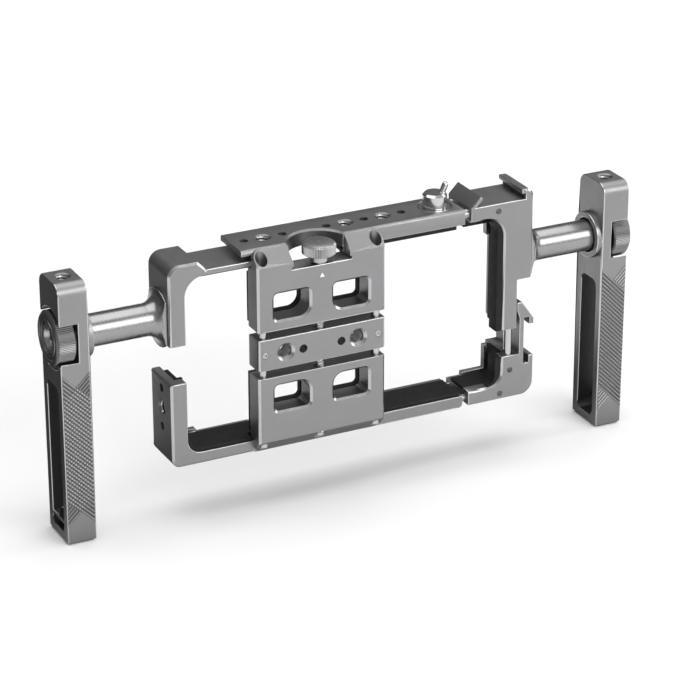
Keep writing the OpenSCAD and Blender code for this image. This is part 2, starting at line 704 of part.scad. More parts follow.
module upper_right_block() color(metal) placed() difference() {
    union() {
        along_y(front_y, half_d) upper_right_outline(end_wall, block_wall_r);
        along_y(front_y, lip_back_y) upper_right_outline(leg_w, inner_r);
        along_y(rear_lip_y0, rear_lip_y1) upper_right_rear_lip();
    }
    rod_holes(arm_start_x - over, arm_start_x + block_rod_l + slide_fit, top_rod_z, top_rod_d / 2);
    bar_z(narrow_leg_z - over, side_rod_top + side_rod_room, side_rod_x, side_rod_y,
        side_rod_d / 2 + plain_fit);
    mirror([1, 0, 0]) rod_bolt_hole(-right_x, -right_inner_x);
    bar_y(front_y - over, front_y + set_screw_h, set_screw_x, top_rod_z, set_screw_r + slide_fit);
    front_edge(core_x - leg_w, narrow_leg_z - over, core_x - leg_w, rail_z0 - inner_r);
    front_fillet(core_x - leg_w, rail_z0, -1, -1, inner_r);
    front_edge(core_x - leg_w - inner_r, rail_z0, arm_start_x - over, rail_z0);
    front_edge(right_x, shoe_top_z - shoe_corner_r, right_x, upper_leg_z - over);
    front_corner(right_x, shoe_top_z, -1, -1, shoe_corner_r);
}

set_screw_in = 11.4;
set_screw_x = arm_start_x + set_screw_in;
screw_end_gap = 0.2;
set_screw_h = half_d - rod_dy - top_rod_d / 2 - screw_end_gap;

module block_set_screw() color(steel) placed()
    bar_y(front_y, front_y + set_screw_h, set_screw_x, top_rod_z, set_screw_r);

// Lower right bracket with the side accessory shoe
side_shoe_set = 1.4;
side_lip_t = 1.9;
side_roof_up = 3.4;
side_shoe_x0 = core_x + side_shoe_set;
side_shoe_bed_x = side_shoe_x0 + shoe_wall;
side_shoe_lip_x = side_shoe_bed_x + foot_slot;
side_shoe_x1 = side_shoe_lip_x + side_lip_t;
side_lip = (foot_w - shoe_mouth) / 2;
side_shoe_z0 = 12.9;
side_shoe_z1 = side_shoe_z0 + foot_w + plain_fit;
side_roof_z = side_shoe_z1 + side_roof_up;
side_roof_x0 = core_x + seat_gap;
base_h = 17.2;
low_corner_r = 5.2;

module lower_right_outline(w, h, r) difference() {
    union() {
        area(arm_start_x, 0, side_shoe_x1, h);
        area(core_x - w, 0, side_shoe_x1, side_shoe_z0 + side_lip);
        area(core_x - w, 0, side_shoe_bed_x, base_h);
        corner_gain(core_x - w, h, -1, 1, r);
        side_shoe_wall();
    }
    area(side_shoe_bed_x, side_shoe_z0, side_shoe_lip_x, base_h + over);
    corner_loss(side_shoe_x1, 0, -1, 1, low_corner_r);
}

// The wall, sloping roof and hook of the side shoe, in X and Z
module side_shoe_wall() polygon([
    [side_shoe_x0, base_h - over], [side_shoe_bed_x, base_h - over], [side_shoe_bed_x, side_shoe_z1],
    [side_shoe_lip_x, side_shoe_z1], [side_shoe_lip_x, side_shoe_z1 - side_lip],
    [side_shoe_x1, side_shoe_z1 - side_lip], [side_shoe_x1, side_shoe_z1 - side_lip / 4],
    [side_roof_x0 + shoe_wall, side_roof_z + shoe_wall + side_roof_rise],
    [side_roof_x0, side_roof_z + shoe_wall + side_roof_rise], [side_roof_x0, side_roof_z],
    [side_shoe_x0, side_shoe_z1],
]);

side_roof_rise = 1.2;

module lower_right_rear_lip() union() {
    area(right_inner_x - rear_lip_w, floor_t - over, right_inner_x + over, floor_t + rear_lip_reach);
    area(right_inner_x - rear_lip_reach, floor_t - over, right_inner_x + over, bay_z0 + rear_lip_hold);
}

low_rod_l = 13;
stop_screw_z = 11.3;
low_screw_in = 13.6;
low_screw_x = arm_start_x + low_screw_in;
low_screw_h = half_d - rod_dy - low_rod_d / 2 - screw_end_gap;
stop_screw_h = side_rod_y - side_rod_d / 2 - front_y - screw_end_gap;

module lower_right_bracket() color(metal) placed() difference() {
    union() {
        along_y(front_y, half_d) lower_right_outline(end_wall, floor_t, low_inner_r - (leg_w - end_wall));
        along_y(front_y, lip_back_y) lower_right_outline(leg_w, low_lip_h, low_inner_r);
        along_y(rear_lip_y0, rear_lip_y1) lower_right_rear_lip();
    }
    rod_holes(arm_start_x - over, arm_start_x + low_rod_l + slide_fit, low_rod_z, low_rod_d / 2);
    bar_z(side_rod_foot - seat_gap, base_h + over, side_rod_x, side_rod_y, side_rod_d / 2 + slide_fit);
    bar_y(front_y - over, front_y + low_screw_h, low_screw_x, low_rod_z, set_screw_r + slide_fit);
    bar_y(front_y - over, front_y + stop_screw_h, side_rod_x, stop_screw_z, set_screw_r + slide_fit);
    front_edge(arm_start_x - over, low_lip_h, core_x - leg_w - low_inner_r, low_lip_h);
    front_fillet(core_x - leg_w, low_lip_h, -1, 1, low_inner_r);
    front_edge(core_x - leg_w, low_lip_h + low_inner_r, core_x - leg_w, base_h + over);
}

module bracket_set_screws() color(steel) placed() {
    bar_y(front_y, front_y + low_screw_h, low_screw_x, low_rod_z, set_screw_r);
    bar_y(front_y, front_y + stop_screw_h, side_rod_x, stop_screw_z, set_screw_r);
}

// Sliding rods
module top_length_rods() color(steel) placed() for (s = [-1, 1])
    bar_x(rail_end_x - rod_grip, arm_start_x + block_rod_l, s * rod_dy, top_rod_z, top_rod_d / 2);

module bottom_length_rods() color(steel) placed() for (s = [-1, 1])
    bar_x(rail_end_x - rod_grip, arm_start_x + low_rod_l, s * rod_dy, low_rod_z, low_rod_d / 2);

module side_guide_rod() color(steel) placed()
    bar_z(side_rod_foot, side_rod_top, side_rod_x, side_rod_y, side_rod_d / 2);

// Length lock: a knob with a slanted lever, turned by hand
knob_r = 4.6;
knob_h = 5.6;
knob_bevel = 0.8;
lever_r = 1.2;
lever_l = 5.9;
lever_sunk = 2;
lever_tilt = 25;
washer_t = 0.6;
knob_z0 = rail_z1 - lock_recess_d + washer_t;

module lock_screw() color(steel) placed()
    bar_z(rail_z0 + seat_gap, knob_z0 + knob_h / 2, lock_x, 0, lock_screw_r);

module lock_washer() color(steel) placed() difference() {
    bar_z(rail_z1 - lock_recess_d, knob_z0, lock_x, 0, lock_recess_r - seat_gap);
    bar_z(rail_z1 - lock_recess_d - over, knob_z0 + over, lock_x, 0, lock_screw_r + plain_fit);
}

module lock_knob() color(steel) placed() translate([lock_x, 0, knob_z0]) difference() {
    rotate_extrude() polygon([
        [0, 0], [knob_r, 0], [knob_r, knob_h - knob_bevel], [knob_r - knob_bevel, knob_h], [0, knob_h],
    ]);
    translate([0, 0, -over]) cylinder(h = over + knob_h / 2 + plain_fit, r = lock_screw_r + plain_fit);
    lever_place() cylinder(h = lever_l, r = lever_r + plain_fit);
}

module lever_place() translate([knob_r / 2, 0, knob_h - lever_sunk]) rotate([0, lever_tilt, 0]) children();

module lock_lever() color(steel) placed() translate([lock_x, 0, knob_z0]) lever_place() union() {
    cylinder(h = lever_l - lever_r, r = lever_r);
    translate([0, 0, lever_l - lever_r]) sphere(r = lever_r);
}

// Grip parts, drawn on the right-hand side and mirrored for the left
module sided(s) if (s > 0) children(); else mirror([1, 0, 0]) children();

rod_end_in = 1.2;
clamp_r = 3;
flare_rim = 0.8;

// The flare opens like a trumpet from the rod to a thin rim on the cage
module flare() rotate_extrude() difference() {
    area(0, 0, flare_d / 2, flare_l);
    translate([arm_d / 2 + flare_l - flare_rim, flare_l]) circle(r = flare_l - flare_rim);
    area(arm_d / 2 + flare_l - flare_rim, flare_rim, flare_d, flare_l + over);
}

module grip_rod() difference() {
    union() {
        bar_x(right_x, grip_in_x - boss_h + rod_end_in, 0, arm_z, arm_d / 2);
        intersection() {
            translate([right_x, 0, arm_z]) rotate([0, 90, 0]) flare();
            block(right_x, -flare_flat / 2, arm_z - flare_d, right_x + flare_l, flare_flat / 2,
                arm_z + flare_d);
        }
    }
    bar_x(right_x - over, right_x + rod_bolt_l + plain_fit, 0, arm_z, rod_bolt_r + plain_fit);
    bar_x(grip_in_x - boss_h - clamp_grip - plain_fit, grip_in_x, 0, arm_z, clamp_r + plain_fit / 2);
}

clamp_grip = 9;
rod_bolt_l = 9;
hex_share = 0.6;

// Bolt through the wall, whose inner face is at x, into the grip rod
module rod_bolt(x) {
    bar_x(x + rod_bolt_head_h, right_x + rod_bolt_l, 0, arm_z, rod_bolt_r);
    difference() {
        translate([x, 0, arm_z]) rotate([0, 90, 0])
            cylinder(h = rod_bolt_head_h, r1 = rod_bolt_head_r, r2 = rod_bolt_r);
        bar_hex(x - over, x + rod_bolt_head_h / 2, rod_bolt_r * hex_share);
    }
}

module bar_hex(x0, x1, r) translate([x0, 0, arm_z]) rotate([0, 90, 0]) cylinder(h = x1 - x0, r = r, $fn = 6);

slot_foot = 3.6;
slot_top_web = 6;
slot_z0 = grip_foot_z + slot_foot;
slot_z1 = arm_z - lock_pocket_r - slot_top_web;
slot_r = 2.4;
strap_room = 3.6;
strap_z = slot_z0 + strap_room;
strap_h = 1.2;
strap_t = 4;

module grip_section() difference() {
    polygon(foot_bevelled(-grip_d / 2, grip_d / 2, grip_top_z));
    for (s = [-1, 1]) corner_loss(s * grip_d / 2, grip_top_z, -s, -1, grip_top_r);
}

// Outline of a grip from a to b and up to z, its foot bevelled
function foot_bevelled(a, b, z) = [
    [a + grip_foot_bevel, grip_foot_z], [b - grip_foot_bevel, grip_foot_z],
    [b, grip_foot_z + grip_foot_bevel], [b, z], [a, z], [a, grip_foot_z + grip_foot_bevel],
];

module slot_section() difference() {
    area(-slot_w / 2, slot_z0, slot_w / 2, slot_z1);
    for (sy = [-1, 1], sz = [-1, 1])
        corner_loss(sy * slot_w / 2, sz > 0 ? slot_z0 : slot_z1, -sy, sz, slot_r);
}

module grip() difference() {
    union() {
        intersection() {
            along_x(grip_in_x, grip_out_x) grip_section();
            along_y(-grip_d, grip_d) polygon(foot_bevelled(grip_in_x, grip_out_x, grip_top_z + over));
        }
        bar_x(grip_in_x - boss_h, grip_in_x + over, 0, arm_z, boss_r);
    }
    bar_x(grip_in_x + grip_web, grip_out_x + over, 0, arm_z, lock_pocket_r);
    bar_x(grip_in_x - boss_h - over, grip_out_x, 0, arm_z, clamp_r + plain_fit / 2);
    bar_x(grip_in_x - boss_h - over, grip_in_x - boss_h + rod_end_in + ring_t, 0, arm_z,
        arm_d / 2 + ring_side);
    difference() {
        along_x(grip_in_x - over, grip_out_x + over) slot_section();
        block(grip_out_x - strap_t, -slot_w, strap_z, grip_out_x, slot_w, strap_z + strap_h);
    }
    bar_z(grip_top_z - top_hole_l, grip_top_z + over, grip_mid_x, 0, quarter_r);
    mouth_z(grip_mid_x, 0, grip_top_z, quarter_r);
}

ring_side = 0.6;
grip_mid_x = (grip_in_x + grip_out_x) / 2;
top_hole_l = 8.6;

// Thin ring between the rod's end and the grip
module friction_ring() difference() {
    bar_x(grip_in_x - boss_h + rod_end_in, grip_in_x - boss_h + rod_end_in + ring_t, 0, arm_z, arm_d / 2);
    bar_x(grip_in_x - boss_h, grip_in_x, 0, arm_z, clamp_r + seat_gap);
}

lock_ribs = 40;
rib_depth = 0.35;
lock_bevel = 0.9;
clamp_head_r = 5.8;
clamp_head_h = 4;
lock_wheel_l = wheel_out_x - lock_wheel_in_x;

module locking_wheel() translate([lock_wheel_in_x, 0, arm_z]) rotate([0, 90, 0]) difference() {
    intersection() {
        linear_extrude(height = lock_wheel_l) ribbed(lock_wheel_r, rib_depth, lock_ribs);
        rotate_extrude() polygon([
            [0, 0], [lock_wheel_r, 0], [lock_wheel_r, lock_wheel_l - lock_bevel],
            [lock_wheel_r - lock_bevel, lock_wheel_l], [0, lock_wheel_l],
        ]);
    }
    translate([0, 0, -over]) cylinder(h = lock_wheel_l, r = clamp_r + plain_fit);
    translate([0, 0, lock_wheel_l - clamp_head_h])
        cylinder(h = clamp_head_h + over, r = clamp_head_r + plain_fit);
}

// Clamp bolt: its head fills the wheel and its shank runs through the grip into the rod
module clamp_bolt() difference() {
    union() {
        bar_x(grip_in_x - boss_h - clamp_grip, wheel_out_x - clamp_head_h + over, 0, arm_z, clamp_r);
        bar_x(wheel_out_x - clamp_head_h, wheel_out_x - lock_bevel / 2, 0, arm_z, clamp_head_r);
    }
    bar_hex(wheel_out_x - clamp_head_h + lock_bevel, wheel_out_x + over, clamp_head_r / 2);
    translate([wheel_out_x - 2 * lock_bevel, 0, arm_z]) rotate([0, 90, 0])
        cylinder(h = 2 * lock_bevel + over, r1 = clamp_head_r / 2, r2 = clamp_head_r - lock_bevel / 2);
}

module left_grip_rod() color(steel) placed() sided(-1) grip_rod();
module right_grip_rod() color(steel) placed() sided(1) grip_rod();
module left_rod_bolt() color(steel) placed() sided(-1) rod_bolt(-left_inner_x);
module right_rod_bolt() color(steel) placed() sided(1) rod_bolt(right_inner_x);
module left_grip() color(metal) placed() sided(-1) grip();
module right_grip() color(metal) placed() sided(1) grip();
module left_locking_wheel() color(metal_dark) placed() sided(-1) locking_wheel();
module right_locking_wheel() color(metal_dark) placed() sided(1) locking_wheel();
module left_clamp_bolt() color(steel) placed() sided(-1) clamp_bolt();
module right_clamp_bolt() color(steel) placed() sided(1) clamp_bolt();
module left_friction_ring() color(black_rubber) placed() sided(-1) friction_ring();
module right_friction_ring() color(black_rubber) placed() sided(1) friction_ring();

// Pads: each lines a bracket's corner, stands in front of the phone as a flange, and turns forward
// over the lip where it shows
pad_show = 0.3;
side_pad_show = 2.4;
pad_back = 0.6;
pad_corner_r = 3;

// The opening between the front lips as the pads leave it, in X and Z
module padded_opening() difference() {
    area(left_x + leg_w + pad_show, bay_z0, core_x - leg_w - side_pad_show, arm_z0 - pad_show);
    corner_loss(left_x + leg_w + pad_show, arm_z0 - pad_show, 1, -1, inner_r - pad_show);
    corner_loss(core_x - leg_w - side_pad_show, arm_z0 - pad_show, -1, -1, inner_r - side_pad_show);
    corner_loss(left_x + leg_w + pad_show, bay_z0, 1, 1, low_inner_r - floor_pad);
    corner_loss(core_x - leg_w - side_pad_show, bay_z0, -1, 1, low_inner_r - floor_pad);
}

// The phone's own space in X and Z
module phone_space() difference() {
    area(left_inner_x + end_pad, bay_z0, right_inner_x - end_pad, bay_z1);
    for (s = [-1, 1], t = [-1, 1])
        corner_loss(s < 0 ? left_inner_x + end_pad : right_inner_x - end_pad, t < 0 ? bay_z0 : bay_z1, -s, -t,
            pad_corner_r);
}

// Two layers of a pad over the area from (x0, z0) to (x1, z1): the flange and the lining behind it,
// both around the bracket's outline, which is the child
module pad_layers(x0, z0, x1, z1) {
    along_y(lip_back_y, phone_back_y) difference() {
        area(x0, z0, x1, z1);
        padded_opening();
        children();
    }
    along_y(phone_back_y, rear_lip_y0) difference() {
        area(x0, z0, x1, z1);
        phone_space();
        children();
    }
}

// The part of a pad that turns forward over the lip, whose outline is the child
module pad_skirt(x0, z0, x1, z1) along_y(front_y + pad_back, lip_back_y) difference() {
    area(x0, z0, x1, z1);
    padded_opening();
    children();
}

module upper_left_pad() color(black_rubber) placed()
    pad_layers(left_inner_x, upper_leg_z, arm_end_x, arm_z0)
        upper_left_outline(end_wall, inner_r - (leg_w - end_wall));

module lower_left_pad() color(black_rubber) placed() union() {
    pad_layers(left_inner_x, floor_t, arm_end_x, low_leg_h)
        lower_left_outline(end_wall, low_inner_r - (leg_w - end_wall));
    pad_skirt(left_x + leg_w, floor_t, plate_x0 - seat_gap, floor_t + low_inner_r)
        lower_left_outline(leg_w, low_inner_r);
}

module upper_right_pad() color(black_rubber) placed() union() {
    pad_layers(arm_start_x, narrow_leg_z, right_inner_x, rail_z0) upper_right_outline(end_wall, block_wall_r);
    pad_skirt(core_x - leg_w - inner_r, narrow_leg_z, core_x - leg_w, arm_z0 - pad_show)
        upper_right_outline(leg_w, inner_r);
}

module lower_right_pad() color(black_rubber) placed() union() {
    pad_layers(arm_start_x, floor_t, right_inner_x, base_h)
        lower_right_outline(end_wall, floor_t, low_inner_r - (leg_w - end_wall));
    pad_skirt(core_x - leg_w - low_inner_r, floor_t, core_x - leg_w, base_h)
        lower_right_outline(leg_w, low_lip_h, low_inner_r);
}

pad_inset = 1;

module top_rail_pads() color(black_rubber) placed() {
    block(wheel_x + pocket_r + pad_inset, lip_back_y, bay_z1, rail_end_x - pad_inset, rear_lip_y0, rail_z0);
    block(rail_start_x, lip_back_y, bay_z1, wheel_x - pocket_r - pad_inset, rear_lip_y0, rail_z0);
}

module bottom_rail_pad() color(black_rubber) placed() union() {
    block(rail_start_x, lip_back_y, floor_t, rail_end_x - pad_inset, rear_lip_y0, bay_z0);
    block(plate_x1 + seat_gap, front_y + pad_back, floor_t, rail_end_x - pad_inset, rear_lip_y0, bay_z0);
}

module upper_plate_pad() color(black_rubber) placed() difference() {
    block(plate_x0 + pad_inset, plate_back_y, upper_plate_z0 + pad_inset, plate_x1 - pad_inset, phone_back_y,
        bay_z1 - pad_inset);
    windows(1);
    translate([0, plate_t, 0]) windows(1);
}

module lower_plate_pad() color(black_rubber) placed() difference() {
    block(plate_x0 + pad_inset, plate_back_y, bay_z0 + pad_inset, plate_x1 - pad_inset, phone_back_y,
        lower_plate_z1 - pad_inset);
    windows(-1);
    translate([0, plate_t, 0]) windows(-1);
}

upper_plate();
middle_bar();
lower_plate();
top_rail();
bottom_rail();
upper_left_bracket();
lower_left_bracket();
upper_right_block();
lower_right_bracket();
top_length_rods();
bottom_length_rods();
side_guide_rod();
plate_guide_rods();
guide_rod_screws();
lead_screw();
thumbwheel();
screw_collar();
middle_bar_screws();
block_set_screw();
bracket_set_screws();
lock_screw();
lock_knob();
lock_lever();
lock_washer();
left_grip_rod();
right_grip_rod();
left_rod_bolt();
right_rod_bolt();
left_grip();
right_grip();
left_locking_wheel();
right_locking_wheel();
left_clamp_bolt();
right_clamp_bolt();
left_friction_ring();
right_friction_ring();
upper_left_pad();
lower_left_pad();
upper_right_pad();
lower_right_pad();
top_rail_pads();
bottom_rail_pad();
upper_plate_pad();
lower_plate_pad();
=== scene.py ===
"""Looks of an adjustable phone cage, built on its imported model.

The file is laid out as an add-on and is run as a script.
"""

import json
import math

import bmesh
import bpy
from bpy.props import FloatProperty, FloatVectorProperty, IntProperty, PointerProperty
from mathutils import Matrix, Vector


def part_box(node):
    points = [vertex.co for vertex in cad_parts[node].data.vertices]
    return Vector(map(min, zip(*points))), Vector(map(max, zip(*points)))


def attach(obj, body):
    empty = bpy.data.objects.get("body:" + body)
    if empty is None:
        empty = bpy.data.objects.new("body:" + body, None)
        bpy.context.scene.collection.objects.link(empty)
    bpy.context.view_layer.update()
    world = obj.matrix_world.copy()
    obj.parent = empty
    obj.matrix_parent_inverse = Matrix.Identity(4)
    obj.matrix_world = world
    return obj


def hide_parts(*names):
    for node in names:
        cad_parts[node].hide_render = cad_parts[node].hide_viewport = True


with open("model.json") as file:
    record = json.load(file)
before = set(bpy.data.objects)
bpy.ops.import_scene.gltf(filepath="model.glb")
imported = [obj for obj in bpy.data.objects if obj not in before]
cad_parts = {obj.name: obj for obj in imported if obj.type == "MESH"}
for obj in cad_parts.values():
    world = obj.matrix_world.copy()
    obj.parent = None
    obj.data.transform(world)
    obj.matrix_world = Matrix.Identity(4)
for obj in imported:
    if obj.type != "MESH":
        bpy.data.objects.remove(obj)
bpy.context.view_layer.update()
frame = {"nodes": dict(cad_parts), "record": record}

bl_info = {
    "name": "Phone cage",
    "version": (1, 0, 0),
    "blender": (4, 5, 0),
    "location": "View3D > Sidebar > Phone cage",
    "description": "Finishes, knurls, threads and pads of an adjustable phone cage, and its studio",
    "category": "Object",
}

MM = 0.001
NODES = frame["nodes"]
BODY_OF = {n: b for b, names in frame["record"]["behaviour"]["bodies"].items() for n in names}

# The metal CAD nodes, with their finish and the width in millimetres that their edges are broken by
METALS = {
    "upper_plate": ("body", 0.3), "middle_bar": ("body", 0.3), "lower_plate": ("body", 0.3),
    "upper_left_bracket": ("body", 0.3), "lower_left_bracket": ("body", 0.3),
    "upper_right_block": ("body", 0.3), "lower_right_bracket": ("body", 0.3),
    "left_grip": ("body", 0.4), "right_grip": ("body", 0.4),
    "top_rail": ("rail", 0.25), "bottom_rail": ("rail", 0.3),
    "top_length_rods": ("rod", 0.2), "bottom_length_rods": ("rod", 0.2),
    "side_guide_rod": ("upright", 0.2), "plate_guide_rods": ("upright", 0.2),
    "left_grip_rod": ("rod", 0.25), "right_grip_rod": ("rod", 0.25),
    "guide_rod_screws": ("sunk", 0.12), "screw_collar": ("screw", 0.12),
    "middle_bar_screws": ("screw", 0.1),
    "block_set_screw": ("sunk", 0.12), "bracket_set_screws": ("sunk", 0.12),
    "lock_screw": ("polished", 0.15), "lock_knob": ("polished", 0.2),
    "lock_lever": ("polished", 0.1), "lock_washer": ("polished", 0.12),
    "left_rod_bolt": ("bolt", 0.2), "right_rod_bolt": ("bolt", 0.2),
    "left_clamp_bolt": ("bolt", 0.25), "right_clamp_bolt": ("bolt", 0.25),
}
PADS = [
    "upper_left_pad", "lower_left_pad", "upper_right_pad", "lower_right_pad", "top_rail_pads",
    "bottom_rail_pad", "upper_plate_pad", "lower_plate_pad",
]
RINGS = ["left_friction_ring", "right_friction_ring"]
# The body that each kind of threaded hole is in, by how the hole's name starts
HOLE_BODIES = {
    "top_rail": "frame", "bar": "middle", "side": "lower_half",
    "left_grip": "left_handle", "right_grip": "right_handle",
}

# In degrees: outer edges steeper than the first are broken, creases over the second stay sharp
BROKEN_ANGLE = 50
CREASE_ANGLE = 30
# In millimetres: the shortest edge that is broken on the plates, and on the other bodies and rails
SHORTEST_ON_PLATES = 1.5
SHORTEST = 0.4
# How far behind a front its machined chamfers reach, and how much their slope may differ
CHAMFER_DEPTH = 1.1 * MM
CHAMFER_SLACK = 0.06

# Points this close are one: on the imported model's triangles, on new pieces, and on a cut
JOIN_CAD = 0.001 * MM
JOIN_NEW = 0.0005 * MM
JOIN_CUT = 0.0001 * MM
# In degrees: a pad's flat faces are joined under the first, and its edges softened over the second
PAD_FLAT = 1
PAD_STEEP = 40

# Half the depth and half the width of a grip
GRIP_FRONT = 9 * MM
GRIP_SIDE = 5.5 * MM
# The slot through a grip: half its depth, its foot over the grip's, its top under the rod's middle,
# and how far the box that finds its faces lies outside them; those faces get painted shade
SLOT_SIDE = 5.4 * MM
SLOT_FOOT = 3.6 * MM
SLOT_TOP = 17.5 * MM
SLOT_SPARE = 0.05 * MM
# The knurling: half its width, half a field before it is cut, and how deep it reaches into the grip
KNURL_SIDE = 5.1 * MM
KNURL_FIELD = 50 * MM
KNURL_ROOT = 0.1 * MM

# Radii in millimetres: the friction rings' bore, and a locking wheel's groove, the seat of the
# bolt's head and the bore
RING_BORE = 3.3
GROOVE_OUTER, GROOVE_INNER = 8.1, 6.8
HEAD_SEAT = 5.95
BOLT_BORE = 3.2
# How far a hole's thread reaches into the wall that it stands on
THREAD_ROOT = 0.02 * MM
# Where the lead screw's two threads meet, as a share of its length
SCREW_SPLIT = 0.48
# The pointer mark: its height over the floor, its radius, its thickness, and how far off the plate
# it starts
MARK_Z = 0.0887
MARK_RADIUS = 1.1 * MM
MARK_THICKNESS = 0.04 * MM
MARK_GAP = 0.02 * MM

# The widths of the dark cloth's soft borders, and how far its left one leans with the depth
CLOTH_FRONT_FADE, CLOTH_BACK_FADE, CLOTH_LEFT_FADE = 0.08, 0.05, 0.06
CLOTH_LEAN = 0.25
# Where the floor fades into the studio's white and over what width, and the floor's radius
WHITE_PLACE, WHITE_FADE, FLOOR_RADIUS = 0.85, 0.7, 12
# The studio's brightest side, how far a direction faces it where the strength starts and stops
# rising, and the strength at both
BRIGHT_SIDE = (0.45, -0.75, 0.45)
DIM_FACING, BRIGHT_FACING = -0.6, 0.9
DIM_STRENGTH, BRIGHT_STRENGTH = 0.15, 0.45
# The point that the lights are turned to
LIT_POINT = (0, 0, 0.05)


def grip_middle():
    """Where both grips' middles lie in Y, and their rods in Z: the clamp bolts run there."""
    low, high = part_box("left_clamp_bolt")
    return (low + high) / 2


def grip_slot(side):
    """The middle and the half size of the box that finds the faces of the slot through a grip,
    which get painted shade.
    """
    low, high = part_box(side + "_grip")
    x = low.x + GRIP_SIDE if side == "left" else high.x - GRIP_SIDE
    bottom, top = low.z + SLOT_FOOT, grip_middle().z - SLOT_TOP
    return (
        Vector((x, grip_middle().y, (bottom + top) / 2)),
        Vector((GRIP_SIDE - SLOT_SPARE, SLOT_SIDE + SLOT_SPARE, (top - bottom) / 2 + SLOT_SPARE)))


class CageFinish(bpy.types.PropertyGroup):
    """Colours and roughness of the cage's materials."""

    body_color: FloatVectorProperty(
        name="Body metal", description="Blasted and anodised plates, brackets and grips",
        default=(0.275, 0.275, 0.279), size=3, min=0, max=1, subtype="COLOR")
    rail_color: FloatVectorProperty(
        name="Rail metal", description="The darker rails between the brackets",
        default=(0.26, 0.26, 0.263), size=3, min=0, max=1, subtype="COLOR")
    wheel_color: FloatVectorProperty(
        name="Locking wheels", description="The ribbed wheels that lock the grips",
        default=(0.2, 0.2, 0.203), size=3, min=0, max=1, subtype="COLOR")
    edge_color: FloatVectorProperty(
        name="Machined edges", description="Edges cut bright after anodising",
        default=(0.52, 0.52, 0.525), size=3, min=0, max=1, subtype="COLOR")
    rod_color: FloatVectorProperty(
        name="Rods", description="Ground and polished rods",
        default=(0.32, 0.32, 0.324), size=3, min=0, max=1, subtype="COLOR")
    screw_color: FloatVectorProperty(
        name="Screws", description="Turned screws, bolts, threads, thumbwheel and length lock",
        default=(0.44, 0.44, 0.44), size=3, min=0, max=1, subtype="COLOR")
    sunk_color: FloatVectorProperty(
        name="Sunk screws", description="Blackened screws in their holes",
        default=(0.13, 0.13, 0.135), size=3, min=0, max=1, subtype="COLOR")
    # Painted shade: a dark colour for the inside of the grips' slots, standing in for their shadow
    painted_slot_shade_color: FloatVectorProperty(
        name="Painted shade in slots", description="Painted shade inside the grips' slots, standing in for their shadow",
        default=(0.06, 0.06, 0.062), size=3, min=0, max=1, subtype="COLOR")
    pad_color: FloatVectorProperty(
        name="Pads", description="Black rubber inside the frame and behind the plates",
        default=(0.01, 0.01, 0.0105), size=3, min=0, max=1, subtype="COLOR")
    mark_color: FloatVectorProperty(
        name="Pointer mark", description="The small painted triangle under the thumbwheel",
        default=(0.85, 0.85, 0.85), size=3, min=0, max=1, subtype="COLOR")
    body_roughness: FloatProperty(
        name="Body roughness", description="Roughness of the blasted metal",
        default=0.42, min=0.05, max=1, subtype="FACTOR")
    edge_roughness: FloatProperty(
        name="Edge roughness", description="Roughness of the machined edges",
        default=0.24, min=0.05, max=1, subtype="FACTOR")


class CageDetail(bpy.types.PropertyGroup):
    """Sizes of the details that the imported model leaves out."""

    knurl_pitch: FloatProperty(
        name="Knurl pitch", description="Distance between two grooves of the grips' knurling",
        default=1.2 * MM, min=0.6 * MM, max=2 * MM, precision=5,
        subtype="DISTANCE", unit="LENGTH")
    knurl_height: FloatProperty(
        name="Knurl height", description="Height of the knurling's ridges over its grooves",
        default=0.42 * MM, min=0.1 * MM, max=0.5 * MM, precision=5,
        subtype="DISTANCE", unit="LENGTH")
    knurl_notch: FloatProperty(
        name="Knurl notch", description="Depth of the notches that cross the ridges",
        default=0.24 * MM, min=0.02 * MM, max=0.3 * MM, precision=5,
        subtype="DISTANCE", unit="LENGTH")
    knurl_top: FloatProperty(
        name="Knurl top", description="Height where the knurling's upper corners lie",
        default=66.5 * MM, min=55 * MM, max=68 * MM, precision=5,
        subtype="DISTANCE", unit="LENGTH")
    knurl_foot: FloatProperty(
        name="Knurl foot", description="Height where the knurling's lower corners lie",
        default=7.6 * MM, min=4 * MM, max=20 * MM, precision=5,
        subtype="DISTANCE", unit="LENGTH")
    wheel_ribs: IntProperty(
        name="Thumbwheel ribs", description="Number of fine ribs round the thumbwheel",
        default=64, min=24, max=96)
    lock_ribs: IntProperty(
        name="Locking wheel ribs", description="Number of ribs round each locking wheel",
        default=96, min=40, max=140)
    thread_pitch: FloatProperty(
        name="Thread pitch", description="Pitch of the quarter-inch threads",
        default=1.27 * MM, min=1 * MM, max=1.5 * MM, precision=5,
        subtype="DISTANCE", unit="LENGTH")
    thread_depth: FloatProperty(
        name="Thread depth", description="How far a thread stands out of its hole's wall",
        default=0.28 * MM, min=0.1 * MM, max=0.5 * MM, precision=5,
        subtype="DISTANCE", unit="LENGTH")
    pad_edge: FloatProperty(
        name="Pad edge", description="Radius of the pads' soft edges",
        default=0.3 * MM, min=0.05 * MM, max=0.6 * MM, precision=5,
        subtype="DISTANCE", unit="LENGTH")


